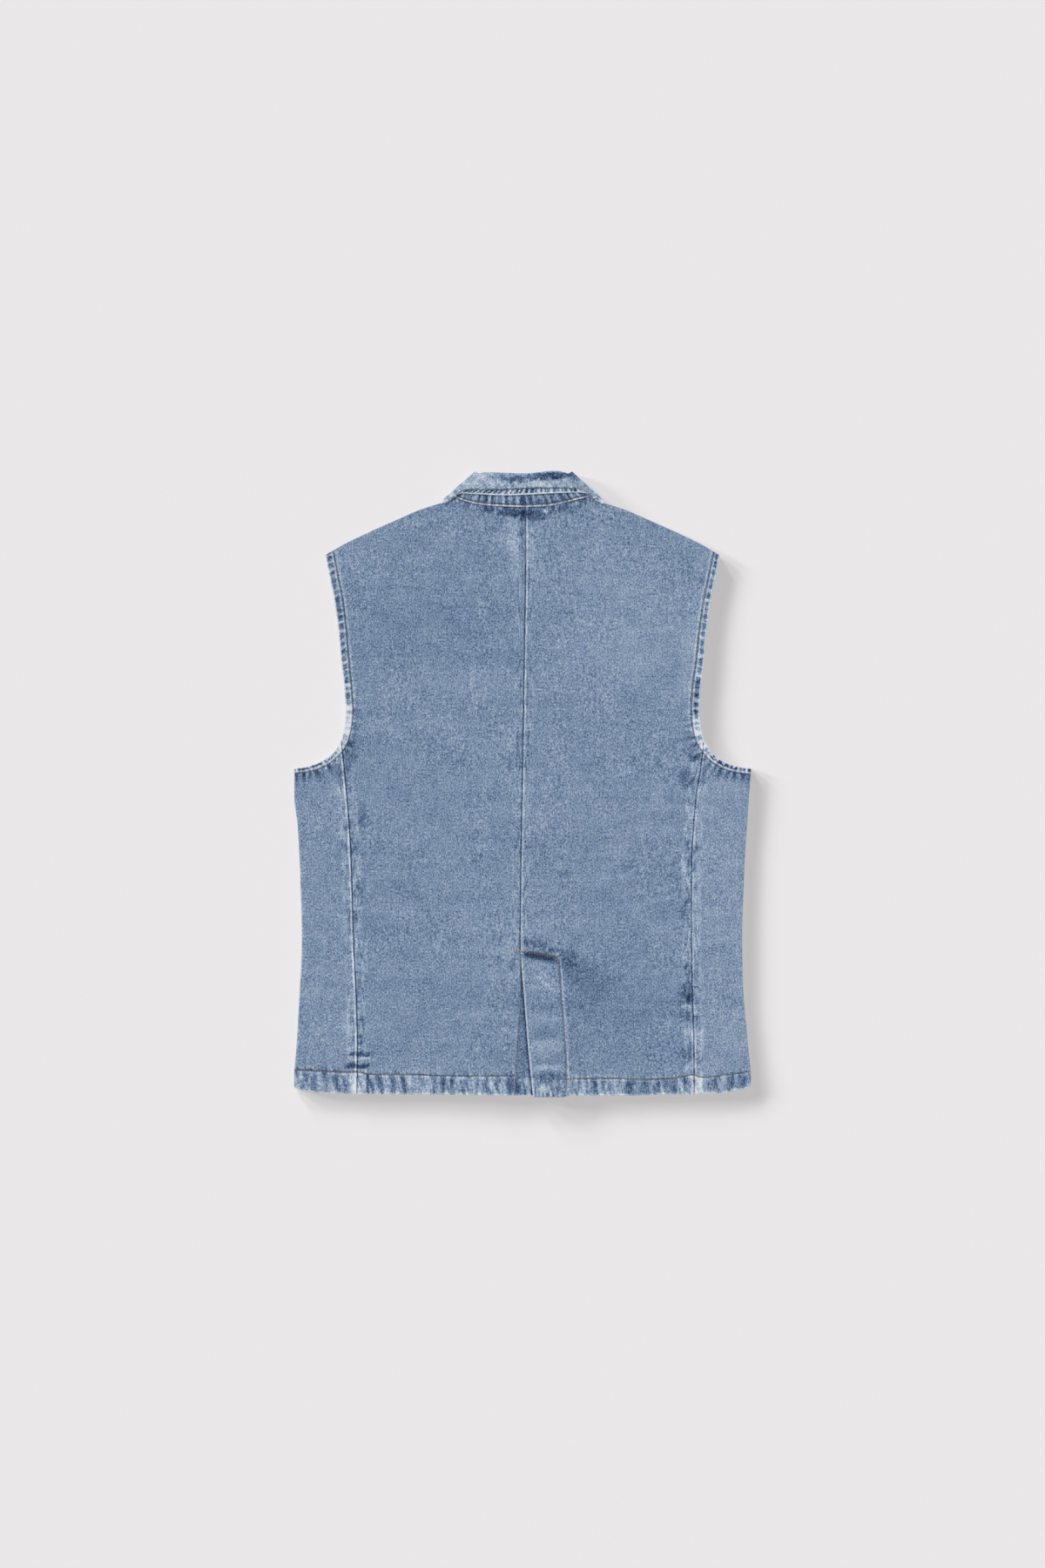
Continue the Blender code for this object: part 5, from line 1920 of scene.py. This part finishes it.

# %% [markdown]
# ## Dressing the model
# Each new piece rides on the vest's one body and takes the place of its plain node.

# %% Dressing the model
SHEETS = {
    "back_left": (backs[-1], (0.276, 0.686), 0.144, ["front_left", "front_right"]),
    "back_right": (backs[1], (0.229, 0.689), 0.135, ["front_left", "front_right"]),
    "side_left": (sides[-1], (0.123, 0.408), 0.041, ["back_left", "front_left"]),
    "side_right": (sides[1], (0.115, 0.408), 0.040, ["back_right", "front_right"]),
    "front_left": (fronts[-1], (0.240, 0.677), 0.145, ["studio_floor"]),
    "front_right": (fronts[1], (0.240, 0.677), 0.145, ["studio_floor"]),
    "collar_stand": (stand, (0.426, 0.045), 0.0115, ["back_left", "back_right"]),
    "collar_leaf": (leaf, (0.417, 0.065), 0.0184, ["collar_stand"]),
}
FLOOR_HALF = 6.0
floor_colour = Nodes("pale_floor")
floor_colour.shader.inputs["Base Color"].default_value = (0.502, 0.491, 0.496, 1.0)
floor_colour.shader.inputs["Roughness"].default_value = 1.0
floor_colour.shader.inputs["Specular IOR Level"].default_value = 0.0
floor_mesh = bpy.data.meshes.new("studio_floor")
corners = [(x * FLOOR_HALF, y * FLOOR_HALF, 0) for x, y in ((-1, -1), (1, -1), (1, 1), (-1, 1))]
floor_mesh.from_pydata(corners, [], [(0, 1, 2, 3)])
floor_mesh.materials.append(floor_colour.material)
floor = bpy.data.objects.new("studio_floor", floor_mesh)
bpy.context.scene.collection.objects.link(floor)

STITCH_THICKNESS = {"bright": 1.35, "golden": 1.35, "worn": 1.25, "under": 0.8}
stitches = []
for kind, lines in stitch_lines.items():
    rows = sewn_stitches(f"{kind}_stitches", lines, threads[kind], STITCH_THICKNESS[kind])
    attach(rows, "root")
    stitches.append(rows)
for node, (piece, flat, area, rests_on) in SHEETS.items():
    piece.data.materials.append(denim_cloth)
    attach(piece, "root")
    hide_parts(node)
for node, (piece, flat, area, rests_on) in SHEETS.items():
    names = [SHEETS[other][0].name if other in SHEETS else other for other in rests_on]
for number, piece in buttons.items():
    piece.data.materials.append(metal)
    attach(piece, "root")
    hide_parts(f"button_{number}")
print("pieces:", len(SHEETS) + len(buttons) + len(stitches))

# %% [markdown]
# ## Light
# A broad soft light from the upper left models the cloth. The shadow on the paper comes from a
# second lamp, so low that it grazes the floor: it is linked to the floor alone, as a studio
# flags a lamp off the garment, and the vest only stands in its way.

# %% Light
def sun(name, azimuth, elevation, spread_angle, strength):
    """A lamp at a compass angle, 0 at the picture's top and turning left, and at a height."""
    lamp = bpy.data.lights.new(name, "SUN")
    lamp.energy = strength
    lamp.angle = math.radians(spread_angle)
    holder = bpy.data.objects.new(name, lamp)
    a, e = math.radians(azimuth), math.radians(elevation)
    towards = Vector((-math.sin(a) * math.cos(e), math.cos(a) * math.cos(e), math.sin(e)))
    holder.rotation_euler = towards.to_track_quat("Z", "Y").to_euler()
    bpy.context.scene.collection.objects.link(holder)
    return holder


def shine_on(lamp, name, things):
    """Links a lamp to some things alone."""
    group = bpy.data.collections.new(name)
    for thing in things:
        group.objects.link(thing)
    lamp.light_linking.receiver_collection = group


WORLD_STRENGTH = 0.16
SHADOW_TURNS = (32, 52, 70)
SHADOW_LOOK = {"elevation": 9.5, "spread_angle": 8, "strength": 3.9}

vest = [piece for piece, *_ in SHEETS.values()] + list(buttons.values()) + stitches
world = bpy.data.worlds.new("studio")
world.use_nodes = True
world.node_tree.nodes["Background"].inputs["Color"].default_value = (1.0, 1.0, 1.0, 1.0)
world.node_tree.nodes["Background"].inputs["Strength"].default_value = WORLD_STRENGTH
bpy.context.scene.world = world
bpy.context.scene.view_settings.view_transform = "Standard"
key = sun("soft_key", azimuth=40, elevation=48, spread_angle=24, strength=1.5)
dome = sun("soft_dome", azimuth=0, elevation=90, spread_angle=170, strength=1.75)
below = sun("light_from_below", azimuth=0, elevation=-90, spread_angle=170, strength=0.9)
grazing = [sun(f"floor_shadow_lamp_{turn}", turn, **SHADOW_LOOK) for turn in SHADOW_TURNS]
wash_light = sun("floor_wash", azimuth=0, elevation=90, spread_angle=1, strength=2.70)
wash_light.data.use_shadow = False
shine_on(key, "lit_by_key", vest)
shine_on(dome, "lit_by_dome", vest)
shine_on(below, "lit_from_below", vest)
for lamp in grazing:
    shine_on(lamp, "lit_by_" + lamp.name, [floor])
shine_on(wash_light, "lit_by_wash", [floor])
print("lamps:", ", ".join(lamp.name for lamp in (key, dome, below, wash_light, *grazing)))
